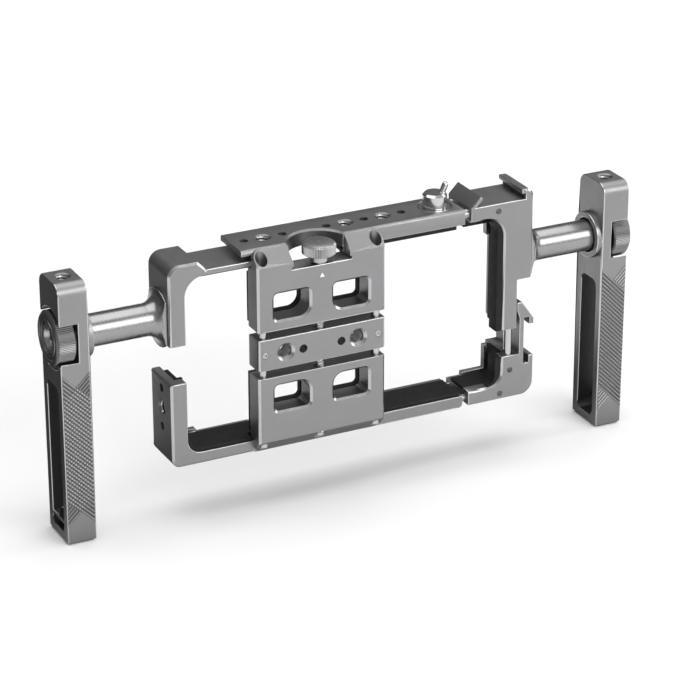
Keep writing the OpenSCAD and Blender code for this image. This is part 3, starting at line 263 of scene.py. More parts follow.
class CageStudio(bpy.types.PropertyGroup):
    """The floor, the lights and the camera."""

    floor_color: FloatVectorProperty(
        name="Floor", description="Pale studio floor",
        default=(0.9, 0.9, 0.9), size=3, min=0, max=1, subtype="COLOR")
    cloth_y: FloatProperty(
        name="Dark cloth", description="Where the dark cloth begins behind the object",
        default=0.0, min=-1, max=1, subtype="DISTANCE", unit="LENGTH")
    cloth_depth: FloatProperty(
        name="Cloth depth", description="How far the dark cloth reaches behind the object",
        default=0.07, min=0, max=2, subtype="DISTANCE", unit="LENGTH")
    cloth_side: FloatProperty(
        name="Cloth at the left", description="Left of this place the dark cloth has no far end",
        default=-0.075, min=-1, max=1, subtype="DISTANCE", unit="LENGTH")
    cloth_tone: FloatProperty(
        name="Cloth tone", description="Tone of the dark cloth against the floor",
        default=0.04, min=0, max=1, subtype="FACTOR")
    camera_place: FloatVectorProperty(
        name="Camera", description="Where the camera stands, from a fit to the photograph",
        default=(-0.4388, -0.8767, 0.4893), size=3, subtype="TRANSLATION", unit="LENGTH")
    camera_aim: FloatVectorProperty(
        name="Aim", description="The point that the camera looks at",
        default=(0.0, 0.0, 0.052), size=3, subtype="TRANSLATION", unit="LENGTH")
    lens: FloatProperty(
        name="Lens", description="Focal length in millimetres on a 36 mm sensor",
        default=150, min=30, max=300)
    key_power: FloatProperty(
        name="Front light", description="Power of the large front light in watts",
        default=28, min=0, max=200)
    top_power: FloatProperty(
        name="Top light", description="Power of the light over the floor in watts",
        default=27, min=0, max=200)
    rim_power: FloatProperty(
        name="Side light", description="Power of the narrow light at the right in watts",
        default=3, min=0, max=200)


def node(tree, kind, inputs=None, **settings):
    """Adds a node. An input's value is a number, a colour, or a socket that it is linked from."""
    made = tree.nodes.new(kind)
    for key, value in settings.items():
        setattr(made, key, value)
    for key, value in (inputs or {}).items():
        if isinstance(value, bpy.types.NodeSocket):
            tree.links.new(value, made.inputs[key])
        else:
            made.inputs[key].default_value = value
    return made


def calc(tree, operation, *values, kind="ShaderNodeMath"):
    """The result of an operation on numbers and sockets."""
    return node(tree, kind, dict(enumerate(values)), operation=operation).outputs[0]


def remap(tree, value, start, stop, low=0.0, high=1.0, **settings):
    """Goes from start to stop as the value goes from low to high."""
    return node(tree, "ShaderNodeMapRange", {
        "Value": value, "From Min": low, "From Max": high, "To Min": start, "To Max": stop},
        **settings).outputs[0]


def noise(tree, place, scale, detail, roughness=0.5):
    """A noise that varies from place to place."""
    return node(tree, "ShaderNodeTexNoise", {
        "Vector": place, "Scale": scale, "Detail": detail, "Roughness": roughness}).outputs["Fac"]


def new_group(name, inputs, outputs):
    """Starts a shader node group and returns it with its input and output nodes."""
    group = bpy.data.node_groups.new(name, "ShaderNodeTree")
    for label, kind, value in inputs:
        socket = group.interface.new_socket(name=label, in_out="INPUT", socket_type=kind)
        socket.default_value = value
    for label in outputs:
        group.interface.new_socket(name=label, in_out="OUTPUT", socket_type="NodeSocketFloat")
    return group, node(group, "NodeGroupInput"), node(group, "NodeGroupOutput")


def close_group(group, end, **outputs):
    """Links what a group puts out."""
    for label, socket in outputs.items():
        group.links.new(socket, end.inputs[label.capitalize()])
    return group


def blasted_group():
    """Fine pits of blasted metal, slow clouds of tone over them, and faint rubbed patches."""
    group, start, end = new_group(
        "Blasted grain",
        [("Grain scale", "NodeSocketFloat", 3200.0), ("Cloud scale", "NodeSocketFloat", 60.0)],
        ["Height", "Tone", "Rub"])
    place = node(group, "ShaderNodeTexCoord").outputs["Object"]
    fine = noise(group, place, start.outputs["Grain scale"], 2.0, 0.55)
    clouds = noise(group, place, start.outputs["Cloud scale"], 3.0)
    rubbed = noise(group, place, 240.0, 4.0, 0.7)
    tone = calc(group, "MULTIPLY_ADD", fine, 0.3, calc(group, "MULTIPLY", clouds, 0.7))
    rub = remap(group, rubbed, 0.0, 1.0, 0.35, 0.75)
    return close_group(group, end, height=fine, tone=tone, rub=rub)


def turned_group():
    """Fine lines of the lathe or grinder. Stretch is long across the lines and short along them."""
    group, start, end = new_group(
        "Turned lines", [("Stretch", "NodeSocketVector", (9000.0, 60.0, 60.0))], ["Height", "Tone"])
    place = node(group, "ShaderNodeTexCoord").outputs["Object"]
    across = calc(group, "MULTIPLY", place, start.outputs["Stretch"], kind="ShaderNodeVectorMath")
    lines = noise(group, across, 1.0, 4.0, 0.6)
    clouds = noise(group, place, 150.0, 3.0, 0.6)
    tone = remap(group, calc(group, "MULTIPLY", lines, clouds), 0.0, 1.0, 0.12, 0.42)
    return close_group(group, end, height=lines, tone=tone)


GROUPS = {}


def shared(name):
    """A shared group, built the first time that a material asks for it."""
    builders = {"Blasted grain": blasted_group, "Turned lines": turned_group}
    if name not in GROUPS:
        GROUPS[name] = builders[name]()
    return GROUPS[name]


def two_tones(tree, factor, color, spread):
    """The colour, between a darker and a lighter tone of itself."""
    low = [max(c * (1 - spread), 0) for c in color] + [1]
    high = [min(c * (1 + spread), 1) for c in color] + [1]
    mixed = node(tree, "ShaderNodeMix", data_type="RGBA")
    tree.links.new(factor, mixed.inputs["Factor"])
    mixed.inputs["A"].default_value = low
    mixed.inputs["B"].default_value = high
    return mixed.outputs["Result"]


def new_material(name, metallic=0.0):
    """An empty material with its shader."""
    material = bpy.data.materials.new(name)
    material.use_nodes = True
    shader = material.node_tree.nodes["Principled BSDF"]
    shader.inputs["Metallic"].default_value = metallic
    return material, material.node_tree, shader


def link_surface(tree, shader, color, mask, roughness, height, strength, depth):
    """Links the colour, the roughness, which goes from the first to the second with the mask, and
    a bump of that strength and depth in millimetres."""
    tree.links.new(color, shader.inputs["Base Color"])
    tree.links.new(remap(tree, mask, *roughness), shader.inputs["Roughness"])
    bump = node(tree, "ShaderNodeBump", {
        "Height": height, "Strength": strength, "Distance": depth * MM})
    tree.links.new(bump.outputs[0], shader.inputs["Normal"])


def blasted_metal(name, color, roughness, spread=0.08, depth=0.012):
    """Blasted, anodised metal."""
    material, tree, shader = new_material(name, metallic=1.0)
    grains = node(tree, "ShaderNodeGroup", node_tree=shared("Blasted grain")).outputs
    link_surface(
        tree, shader, two_tones(tree, grains["Tone"], color, spread),
        grains["Rub"], (roughness + 0.03, roughness - 0.05), grains["Height"], 0.5, depth)
    return material


def turned_metal(name, color, roughness, stretch, spread=0.1, depth=0.006):
    """Bright metal with the lathe's lines."""
    material, tree, shader = new_material(name, metallic=1.0)
    lines = node(tree, "ShaderNodeGroup", node_tree=shared("Turned lines"))
    lines.inputs["Stretch"].default_value = stretch
    lines = lines.outputs
    link_surface(
        tree, shader, two_tones(tree, lines["Tone"], color, spread),
        lines["Tone"], (roughness + 0.05, roughness - 0.04), lines["Height"], 0.35, depth)
    return material


def knurled_metal(name, color, roughness):
    """Blasted metal painted lighter on the crests and darker in the grooves: a painted highlight
    on the crests and painted shade in the grooves. How high a place lies is read from how far it
    is from the grips' middle."""
    material, tree, shader = new_material(name, metallic=1.0)
    grains = node(tree, "ShaderNodeGroup", node_tree=shared("Blasted grain")).outputs
    height = bpy.context.scene.cage_detail.knurl_height
    place = node(tree, "ShaderNodeTexCoord").outputs["Object"]
    place = node(tree, "ShaderNodeSeparateXYZ", {0: place})
    away = calc(tree, "ABSOLUTE", calc(tree, "SUBTRACT", place.outputs["Y"], grip_middle().y))
    crest = remap(tree, away, 0.0, 1.0, GRIP_FRONT + 0.1 * height, GRIP_FRONT + height)
    # Painted highlight and shade: the colour is light on the crests and dark in the grooves
    tone = calc(tree, "MULTIPLY_ADD", crest, 0.88, calc(tree, "MULTIPLY", grains["Tone"], 0.12))
    link_surface(
        tree, shader, two_tones(tree, tone, [0.95 * c for c in color], 0.62),
        crest, (roughness + 0.12, roughness - 0.06), grains["Height"], 0.5, 0.012)
    return material


def rubber(name, color):
    """Matt black rubber with a moulded grain."""
    material, tree, shader = new_material(name)
    shader.inputs["Specular IOR Level"].default_value = 0.25
    grains = node(tree, "ShaderNodeGroup", node_tree=shared("Blasted grain"))
    grains.inputs["Grain scale"].default_value = 1500.0
    grains = grains.outputs
    link_surface(
        tree, shader, two_tones(tree, grains["Tone"], color, 0.35),
        grains["Rub"], (0.72, 0.55), grains["Height"], 0.6, 0.04)
    return material


def paint(name, color):
    """Thin matt paint, a little uneven."""
    material, tree, shader = new_material(name)
    grains = node(tree, "ShaderNodeGroup", node_tree=shared("Blasted grain"))
    color = two_tones(tree, grains.outputs["Tone"], color, 0.08)
    tree.links.new(color, shader.inputs["Base Color"])
    shader.inputs["Roughness"].default_value = 0.6
    return material


def finishes():
    """The cage's finishes by name: how each is made, and of what."""
    look = bpy.context.scene.cage_finish
    bright_rod = [1.6 * c for c in look.rod_color]
    bright_screw = [1.25 * c for c in look.screw_color]
    rough = look.body_roughness
    return {
        "body": (blasted_metal, "Blasted body metal", look.body_color, rough),
        "rail": (blasted_metal, "Blasted rail metal", look.rail_color, rough),
        "wheel": (blasted_metal, "Ribbed wheel metal", look.wheel_color, 0.36),
        "edge": (blasted_metal, "Machined edge", look.edge_color, look.edge_roughness, 0.06, 0.003),
        # Painted shade for the inside of the grips' slots
        "hollow": (blasted_metal, "Dark hollow", look.painted_slot_shade_color, 0.5),
        # The knurl's colour holds a painted highlight on its crests and painted shade in its
        # grooves
        "knurl": (knurled_metal, "Knurled metal", look.body_color, rough),
        "rod": (
            turned_metal, "Polished rod", look.rod_color, 0.26, (5000.0, 60.0, 60.0), 0.05, 0.002),
        "upright": (
            turned_metal, "Polished upright rod", bright_rod, 0.2, (60.0, 60.0, 5000.0),
            0.05, 0.002),
        "screw": (
            turned_metal, "Turned steel", look.screw_color, 0.3, (300.0, 300.0, 5000.0),
            0.05, 0.003),
        "bolt": (
            turned_metal, "Turned bolt steel", look.screw_color, 0.26, (5000.0, 300.0, 300.0),
            0.06),
        "polished": (
            turned_metal, "Polished steel", bright_screw, 0.16, (300.0, 300.0, 5000.0),
            0.05, 0.002),
        "sunk": (
            turned_metal, "Blackened steel", look.sunk_color, 0.3, (900.0, 900.0, 3000.0)),
        "rubber": (rubber, "Black rubber", look.pad_color),
        "mark": (paint, "Pointer paint", look.mark_color),
    }


MATERIALS = {}


def finish(name):
    """One of the cage's finishes, made the first time that a piece asks for it."""
    if name not in MATERIALS:
        make, *values = finishes()[name]
        MATERIALS[name] = make(*values)
    return MATERIALS[name]


# The nodes that compare two values, and that join two conditions
COMPARE = "FunctionNodeCompare"
LOGIC = "FunctionNodeBooleanMath"


def edge_marks(shortest, front, hollow):
    """The node group that prepares a CAD node's edges. It gives the steep outer edges that are
    longer than the shortest their bevel weight, and keeps the other creases sharp. The machined
    chamfers round a front at that place in Y get the second material. The faces inside the box
    of a grip's slot get the third, a dark painted shade."""
    name = "Edge marks %.1f %.4f %.4f" % (shortest, front or 0, hollow[0].x if hollow else 0)
    if name in bpy.data.node_groups:
        return bpy.data.node_groups[name]
    group = bpy.data.node_groups.new(name, "GeometryNodeTree")
    for in_out in ("INPUT", "OUTPUT"):
        group.interface.new_socket(
            name="Geometry", in_out=in_out, socket_type="NodeSocketGeometry")
    mesh = node(group, "NodeGroupInput").outputs["Geometry"]
    angle = node(group, "GeometryNodeInputMeshEdgeAngle").outputs
    outer = calc(
        group, "GREATER_THAN", angle["Signed Angle"], math.radians(BROKEN_ANGLE), kind=COMPARE)
    crease = calc(
        group, "GREATER_THAN", angle["Unsigned Angle"], math.radians(CREASE_ANGLE), kind=COMPARE)
    ends = node(group, "GeometryNodeInputMeshEdgeVertices").outputs
    length = node(group, "ShaderNodeVectorMath", {
        0: ends["Position 1"], 1: ends["Position 2"]}, operation="DISTANCE").outputs["Value"]
    long = calc(group, "GREATER_THAN", length, shortest * MM, kind=COMPARE)
    marked = calc(group, "AND", outer, long, kind=LOGIC)
    left = calc(group, "NIMPLY", crease, marked, kind=LOGIC)
    mesh = node(group, "GeometryNodeSetShadeSmooth", {
        "Geometry": mesh, "Shade Smooth": True}, domain="FACE").outputs[0]
    mesh = node(group, "GeometryNodeSetShadeSmooth", {
        "Geometry": mesh, "Selection": left, "Shade Smooth": False},
        domain="EDGE").outputs[0]
    mesh = node(group, "GeometryNodeStoreNamedAttribute", {
        "Geometry": mesh, "Name": "bevel_weight_edge", "Value": marked},
        data_type="FLOAT", domain="EDGE").outputs["Geometry"]
    if front is not None:
        mesh = set_material(group, mesh, 1, chamfer_faces(group, front))
    # The slot's faces get the third material: painted shade in place of their shadow
    if hollow is not None:
        mesh = set_material(group, mesh, 2, slot_shade_faces(group, *hollow))
    group.links.new(mesh, node(group, "NodeGroupOutput").inputs["Geometry"])
    return group


def set_material(group, mesh, index, faces):
    """Gives the chosen faces the material of that index."""
    return node(group, "GeometryNodeSetMaterialIndex", {
        "Geometry": mesh, "Selection": faces, "Material Index": index}).outputs["Geometry"]


def chamfer_faces(group, front):
    """Finds the faces close behind the front that lie at 45 degrees to it."""
    facing = node(group, "GeometryNodeInputNormal").outputs["True Normal"]
    facing = node(group, "ShaderNodeSeparateXYZ", {0: facing})
    lean = node(group, COMPARE, {
        0: facing.outputs["Y"], 1: -math.sqrt(0.5), "Epsilon": CHAMFER_SLACK}, operation="EQUAL")
    place = node(group, "GeometryNodeInputPosition").outputs["Position"]
    place = node(group, "ShaderNodeSeparateXYZ", {0: place})
    near = calc(group, "LESS_THAN", place.outputs["Y"], front + CHAMFER_DEPTH, kind=COMPARE)
    whole = node(group, "GeometryNodeFieldOnDomain", {
        0: near}, data_type="BOOLEAN", domain="POINT")
    return calc(group, "AND", lean.outputs[0], whole.outputs[0], kind=LOGIC)


def slot_shade_faces(group, middle, half):
    """Finds the faces inside a box: the faces of a grip's slot, which get painted shade."""
    place = node(group, "GeometryNodeInputPosition").outputs["Position"]
    away = calc(group, "SUBTRACT", place, middle, kind="ShaderNodeVectorMath")
    away = calc(group, "ABSOLUTE", away, kind="ShaderNodeVectorMath")
    # A Compare node takes its two vectors at the inputs 4 and 5
    within = node(group, COMPARE, data_type="VECTOR", mode="ELEMENT", operation="LESS_THAN")
    group.links.new(away, within.inputs[4])
    within.inputs[5].default_value = half
    return within.outputs[0]


def dress(cad_node, face, edge, width, shortest=0.0, machined=False, hollow=None):
    """Gives a CAD node its finish, and breaks its steep outer edges with a machined bevel. Width
    and shortest are in millimetres."""
    piece = NODES[cad_node]
    piece.data.materials.clear()
    piece.data.materials.append(finish(face))
    piece.data.materials.append(finish(edge))
    # The faces of a grip's slot get a third, dark material: painted shade
    if hollow is not None:
        piece.data.materials.append(finish("hollow"))
    weld = piece.modifiers.new("Join triangles", "WELD")
    weld.merge_threshold = JOIN_CAD
    marks = piece.modifiers.new("Edge marks", "NODES")
    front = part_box(cad_node)[0].y if machined else None
    marks.node_group = edge_marks(shortest, front, hollow)
    bevel = piece.modifiers.new("Broken edges", "BEVEL")
    bevel.limit_method = "WEIGHT"
    bevel.offset_type = "OFFSET"
    bevel.width = width * MM
    bevel.segments = 2
    bevel.profile = 0.5
    bevel.use_clamp_overlap = False
    bevel.material = 1
    bevel.miter_outer = "MITER_ARC"
    even = piece.modifiers.new("Even shading", "WEIGHTED_NORMAL")
    even.keep_sharp = True
    even.weight = 60


def add_piece(name, bm, body, material, *stands_for, smooth=35):
    """Makes a piece of the mesh, gives it its finish and body, and hides the CAD nodes that it
    stands for. Creases over so many degrees stay sharp."""
    mesh = bpy.data.meshes.new(name)
    bm.to_mesh(mesh)
    bm.free()
    mesh.materials.append(finish(material))
    mesh.shade_smooth()
    mesh.set_sharp_from_angle(angle=math.radians(smooth))
    piece = bpy.data.objects.new(name, mesh)
    bpy.context.scene.collection.objects.link(piece)
    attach(piece, body)
    if stands_for:
        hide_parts(*stands_for)
    return piece


def box_of(cad_node):
    """The lowest corner, the highest corner and the middle of a CAD node's box."""
    low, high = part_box(cad_node)
    return low, high, (low + high) / 2


def points_in(geom):
    """The points among the elements that an operator made."""
    return [v for v in geom if isinstance(v, bmesh.types.BMVert)]


def outward(bm):
    """Merges doubles and turns every face outwards."""
    bmesh.ops.remove_doubles(bm, verts=bm.verts, dist=JOIN_NEW)
    bmesh.ops.recalc_face_normals(bm, faces=bm.faces)


def aim(bm, centre, axis):
    """Moves a mesh that was made round the Z axis so that it lies round the axis at the centre."""
    turn = Vector((0, 0, 1)).rotation_difference(Vector(axis)).to_matrix().to_4x4()
    bmesh.ops.transform(bm, matrix=Matrix.Translation(centre) @ turn, verts=bm.verts)


def turned(profile, segments, ribs=0.0, ribbed_to=0):
    """A turned mesh: a disc is drawn out through the (height, radius) pairs of the profile, in
    millimetres, and the last loop is joined to the first. Every other point is sunk by the share
    ribs, up to the pair number ribbed_to."""
    bm = bmesh.new()
    bmesh.ops.create_circle(bm, cap_ends=True, segments=segments, radius=profile[0][1] * MM)
    face = bm.faces[:][0]
    if ribs:
        bmesh.ops.scale(bm, vec=(1 - ribs, 1 - ribs, 1), verts=list(face.verts)[::2])
    for k in range(1, len(profile)):
        (h0, r0), (h1, r1) = profile[k - 1], profile[k]
        face = bmesh.ops.extrude_discrete_faces(bm, faces=[face])["faces"][0]
        if ribs and k == ribbed_to:
            bmesh.ops.scale(bm, vec=(1 / (1 - ribs), 1 / (1 - ribs), 1), verts=sunk(face))
        bmesh.ops.scale(bm, vec=(r1 / r0, r1 / r0, 1), verts=face.verts)
        bmesh.ops.translate(bm, vec=(0, 0, (h1 - h0) * MM), verts=face.verts)
    bmesh.ops.delete(bm, geom=[face], context="FACES_ONLY")
    bmesh.ops.bridge_loops(bm, edges=[e for e in bm.edges if e.is_boundary])
    outward(bm)
    return bm


def sunk(face):
    """The points of a ribbed face that lie nearer its middle."""
    lengths = [v.co.xy.length for v in face.verts]
    middle = (min(lengths) + max(lengths)) / 2
    return [v for v, length in zip(face.verts, lengths) if length < middle]


def helix(points, pitch, turns, steps=28, starts=1):
    """A thread: a closed outline of (radius, height) pairs in metres, wound up round Z."""
    bm = bmesh.new()
    verts = [bm.verts.new((r, 0, h)) for r, h in points]
    edges = [bm.edges.new((verts[k - 1], verts[k])) for k in range(len(verts))]
    count = max(int(steps * turns), 1)
    bmesh.ops.spin(
        bm, geom=verts + edges, cent=(0, 0, 0), axis=(0, 0, 1), dvec=(0, 0, pitch / steps),
        angle=2 * math.pi * count / steps, steps=count, use_merge=False, use_duplicate=False)
    bmesh.ops.holes_fill(bm, edges=[e for e in bm.edges if e.is_boundary], sides=0)
    whole = bm.verts[:] + bm.edges[:] + bm.faces[:]
    for k in range(1, starts):
        copy = bmesh.ops.duplicate(bm, geom=whole)["geom"]
        bmesh.ops.rotate(
            bm, cent=(0, 0, 0), matrix=Matrix.Rotation(2 * math.pi * k / starts, 3, "Z"),
            verts=points_in(copy))
    bmesh.ops.recalc_face_normals(bm, faces=bm.faces)
    return bm


def merge(bm, other):
    """Adds another mesh to bm."""
    mesh = bpy.data.meshes.new("part")
    other.to_mesh(mesh)
    other.free()
    bm.from_mesh(mesh)
    bpy.data.meshes.remove(mesh)


def cut(bm, point, normal):
    """Cuts away what lies on the side that the normal points to."""
    geom = bm.verts[:] + bm.edges[:] + bm.faces[:]
    bmesh.ops.bisect_plane(
        bm, geom=geom, plane_co=point, plane_no=normal, dist=JOIN_CUT, clear_outer=True)


def close_down(bm, floor_y):
    """Draws a panel's open border back to the plane floor_y, and closes the panel there."""
    border = [e for e in bm.edges if e.is_boundary]
    made = bmesh.ops.extrude_edge_only(bm, edges=border)["geom"]
    flat = Matrix.Translation((0, floor_y, 0)) @ Matrix.Diagonal((1, 0, 1, 1))
    bmesh.ops.transform(bm, matrix=flat, verts=points_in(made))
    bmesh.ops.holes_fill(bm, edges=[e for e in bm.edges if e.is_boundary], sides=0)
    outward(bm)


class CAGE_OT_stage(bpy.types.Operator):
    """Lays the floor, sets the lights and places the camera"""

    bl_idname = "cage.stage"
    bl_label = "Studio"

    def execute(self, context):
        studio = context.scene.cage_studio
        self.floor(context, studio)
        self.world(context)
        self.lights(context, studio)
        self.camera(context, studio)
        context.scene.view_settings.view_transform = "Standard"
        return {"FINISHED"}

    def floor(self, context, studio):
        material, tree, shader = new_material("Studio floor")
        place = node(tree, "ShaderNodeTexCoord").outputs["Object"]
        pale = two_tones(tree, noise(tree, place, 2.0, 2.0), studio.floor_color, 0.01)
        ray = node(tree, "ShaderNodeLightPath")
        # A dark cloth lies close behind the object, and at its left: only reflections see it
        cloth = self.cloth(tree, place, studio)
        dark = calc(tree, "MULTIPLY", cloth, ray.outputs["Is Glossy Ray"])
        tone = node(tree, "ShaderNodeMix", {"B": (0, 0, 0, 1)}, data_type="RGBA")
        tree.links.new(dark, tone.inputs["Factor"])
        tree.links.new(pale, tone.inputs["A"])
        tree.links.new(tone.outputs["Result"], shader.inputs["Base Color"])
        shader.inputs["Roughness"].default_value = 0.9
        # Where the lights no longer reach, the floor fades into the white of the studio
        distance = node(tree, "ShaderNodeVectorMath", {0: place}, operation="LENGTH")
        far = self.fade(tree, distance.outputs["Value"], WHITE_PLACE, WHITE_FADE, 0.0, 1.0)
        glow = calc(tree, "MULTIPLY", far, ray.outputs["Is Camera Ray"])
        shader.inputs["Emission Color"].default_value = (1, 1, 1, 1)
        tree.links.new(glow, shader.inputs["Emission Strength"])
        bm = bmesh.new()
        bmesh.ops.create_circle(bm, cap_ends=True, segments=64, radius=FLOOR_RADIUS)
        mesh = bpy.data.meshes.new("studio_floor")
        bm.to_mesh(mesh)
        bm.free()
        mesh.materials.append(material)
        floor = bpy.data.objects.new("studio_floor", mesh)
        context.scene.collection.objects.link(floor)

    def cloth(self, tree, place, studio):
        """How dark the cloth makes the floor at a place, from 0 to 1."""
        parts = node(tree, "ShaderNodeSeparateXYZ", {0: place}).outputs
        behind = self.fade(
            tree, parts["Y"], studio.cloth_y, CLOTH_FRONT_FADE, 0.0, 1 - studio.cloth_tone)
        close = self.fade(tree, parts["Y"], studio.cloth_depth, CLOTH_BACK_FADE, 1.0, 0.0)
        slant = calc(tree, "MULTIPLY_ADD", parts["Y"], CLOTH_LEAN, parts["X"])
        aside = self.fade(tree, slant, studio.cloth_side, CLOTH_LEFT_FADE, 1.0, 0.0)
        return calc(tree, "MULTIPLY", calc(tree, "MAXIMUM", close, aside), behind)

    def fade(self, tree, value, place, width, start, stop):
        """A soft step of that width from start to stop, round the place."""
        return remap(
            tree, value, start, stop, place - width / 2, place + width / 2,
            interpolation_type="SMOOTHSTEP")

    def world(self, context):
        world = bpy.data.worlds.new("Studio")
        context.scene.world = world
        world.use_nodes = True
        tree = world.node_tree
        direction = node(tree, "ShaderNodeTexCoord").outputs["Generated"]
        facing = node(tree, "ShaderNodeVectorMath", {
            0: direction, 1: BRIGHT_SIDE}, operation="DOT_PRODUCT")
        ramp = remap(
            tree, facing.outputs["Value"], DIM_STRENGTH, BRIGHT_STRENGTH, DIM_FACING,
            BRIGHT_FACING, interpolation_type="SMOOTHSTEP")
        # The camera sees the studio white
        ray = node(tree, "ShaderNodeLightPath")
        seen = calc(tree, "MAXIMUM", ramp, ray.outputs["Is Camera Ray"])
        background = tree.nodes["Background"]
        tree.links.new(seen, background.inputs["Strength"])
        background.inputs["Color"].default_value = (1.0, 1.0, 1.02, 1)

    def lights(self, context, studio):
        for name, place, size, power in (
            ("front_light", (0.5, -1.65, 0.95), (2.2, 1.1), studio.key_power),
            ("top_light", (0.0, 0.25, 1.7), (2.6, 1.8), studio.top_power),
            ("side_light", (1.3, -0.1, 0.6), (0.3, 0.9), studio.rim_power),
        ):
            data = bpy.data.lights.new(name, "AREA")
            data.shape = "RECTANGLE"
            data.size, data.size_y = size
            data.energy = power
            light = bpy.data.objects.new(name, data)
            self.point(light, Vector(place), Vector(LIT_POINT))
            context.scene.collection.objects.link(light)

    def camera(self, context, studio):
        data = bpy.data.cameras.new("camera")
        data.lens = studio.lens
        data.sensor_width = 36
        data.clip_start = 0.05
        data.clip_end = 40
        camera = bpy.data.objects.new("camera", data)
        self.point(camera, Vector(studio.camera_place), Vector(studio.camera_aim))
        context.scene.collection.objects.link(camera)
        context.scene.camera = camera

    def point(self, item, place, target):
        """Puts a light or the camera at a place, turned to the target."""
        item.location = place
        item.rotation_euler = (target - place).to_track_quat("-Z", "Y").to_euler()


class CAGE_OT_metal(bpy.types.Operator):
    """Finishes the plates, brackets, rails, grips, rods and screws"""

    bl_idname = "cage.metal"
    bl_label = "Metal parts"

    def execute(self, context):
        for name, (face, width) in METALS.items():
            if name.endswith("_grip"):
                # The faces inside each grip's slot get painted shade
                slot = grip_slot(name.split("_")[0])
                dress(name, face, "edge", width, shortest=SHORTEST, hollow=slot)
            elif face == "body":
                shortest = SHORTEST_ON_PLATES if "plate" in name else SHORTEST
                dress(name, face, "edge", width, shortest=shortest, machined=True)
            elif face == "rail":
                dress(name, face, "edge", width, shortest=SHORTEST)
            else:
                dress(name, face, face, width)
        return {"FINISHED"}


class CAGE_OT_pads(bpy.types.Operator):
    """Makes the black rubber pads and friction rings, with soft edges"""

    bl_idname = "cage.pads"
    bl_label = "Rubber pads"

    def execute(self, context):
        detail = context.scene.cage_detail
        for name in PADS:
            bm = bmesh.new()
            bm.from_mesh(NODES[name].data)
            bmesh.ops.remove_doubles(bm, verts=bm.verts, dist=JOIN_CAD)
            bmesh.ops.dissolve_limit(
                bm, angle_limit=math.radians(PAD_FLAT), verts=bm.verts, edges=bm.edges)
            limit = math.radians(PAD_STEEP)
            steep = [e for e in bm.edges if e.is_manifold and e.calc_face_angle(0) > limit]
            bmesh.ops.bevel(
                bm, geom=steep, offset=detail.pad_edge, offset_type="OFFSET", affect="EDGES",
                segments=3, profile=0.5, material=-1, clamp_overlap=True)
            piece = add_piece("rubber_" + name, bm, BODY_OF[name], "rubber", name)
        for name in RINGS:
            low, high, middle = box_of(name)
            thick = (high.x - low.x) / MM
            outer = (high.z - low.z) / 2 / MM
            bm = turned([
                (0.0, outer - 0.2), (0.2, outer), (thick - 0.2, outer), (thick, outer - 0.2),
                (thick, RING_BORE + 0.2), (thick - 0.2, RING_BORE), (0.2, RING_BORE),
                (0.0, RING_BORE + 0.2)], 64)
            aim(bm, (low.x, middle.y, middle.z), (1, 0, 0))
            piece = add_piece("rubber_" + name, bm, BODY_OF[name], "rubber", name)
        return {"FINISHED"}


class CAGE_OT_wheels(bpy.types.Operator):
    """Makes the ribbed thumbwheel and the two ribbed locking wheels"""

    bl_idname = "cage.wheels"
    bl_label = "Ribbed wheels"

    def execute(self, context):
        detail = context.scene.cage_detail
        self.thumbwheel(detail)
        for side, outward_x in (("left", -1), ("right", 1)):
            self.locking_wheel(detail, side + "_locking_wheel", outward_x)
        return {"FINISHED"}

    def thumbwheel(self, detail):
        low, high, middle = box_of("thumbwheel")
        r = (high.x - low.x) / 2 / MM
        h = (high.z - low.z) / MM
        bm = turned([
            (0.0, r - 0.7), (0.5, r), (h - 1.1, r), (h - 0.4, r - 0.7), (h - 0.2, r - 1.5),
            (h - 0.05, r - 3.0), (h, r - 5.0), (h, 0.3), (h - 0.3, 0.2), (h - 0.5, 0.05)],
            2 * detail.wheel_ribs, ribs=0.04, ribbed_to=3)
        aim(bm, (middle.x, middle.y, low.z), (0, 0, 1))
        piece = add_piece(
            "thumbwheel_ribbed", bm, BODY_OF["thumbwheel"], "screw", "thumbwheel", smooth=25)

    def locking_wheel(self, detail, name, outward_x):
        low, high, middle = box_of(name)
        r = (high.z - low.z) / 2 / MM
        h = (high.x - low.x) / MM
        bm = turned([
            (0.0, r - 0.5), (0.5, r), (h - 0.8, r), (h - 0.15, r - 0.7), (h, r - 1.0),
            (h, GROOVE_OUTER), (h - 0.3, 7.8), (h - 0.3, 7.0), (h, GROOVE_INNER),
            (h, 6.1), (h - 0.2, HEAD_SEAT), (h - 4.0, HEAD_SEAT), (h - 4.0, BOLT_BORE),
            (0.0, BOLT_BORE)], 2 * detail.lock_ribs, ribs=0.02, ribbed_to=4)
        inner_x = low.x if outward_x > 0 else high.x
        aim(bm, (inner_x, middle.y, middle.z), (outward_x, 0, 0))
        piece = add_piece(name + "_ribbed", bm, BODY_OF[name], "wheel", name, smooth=25)


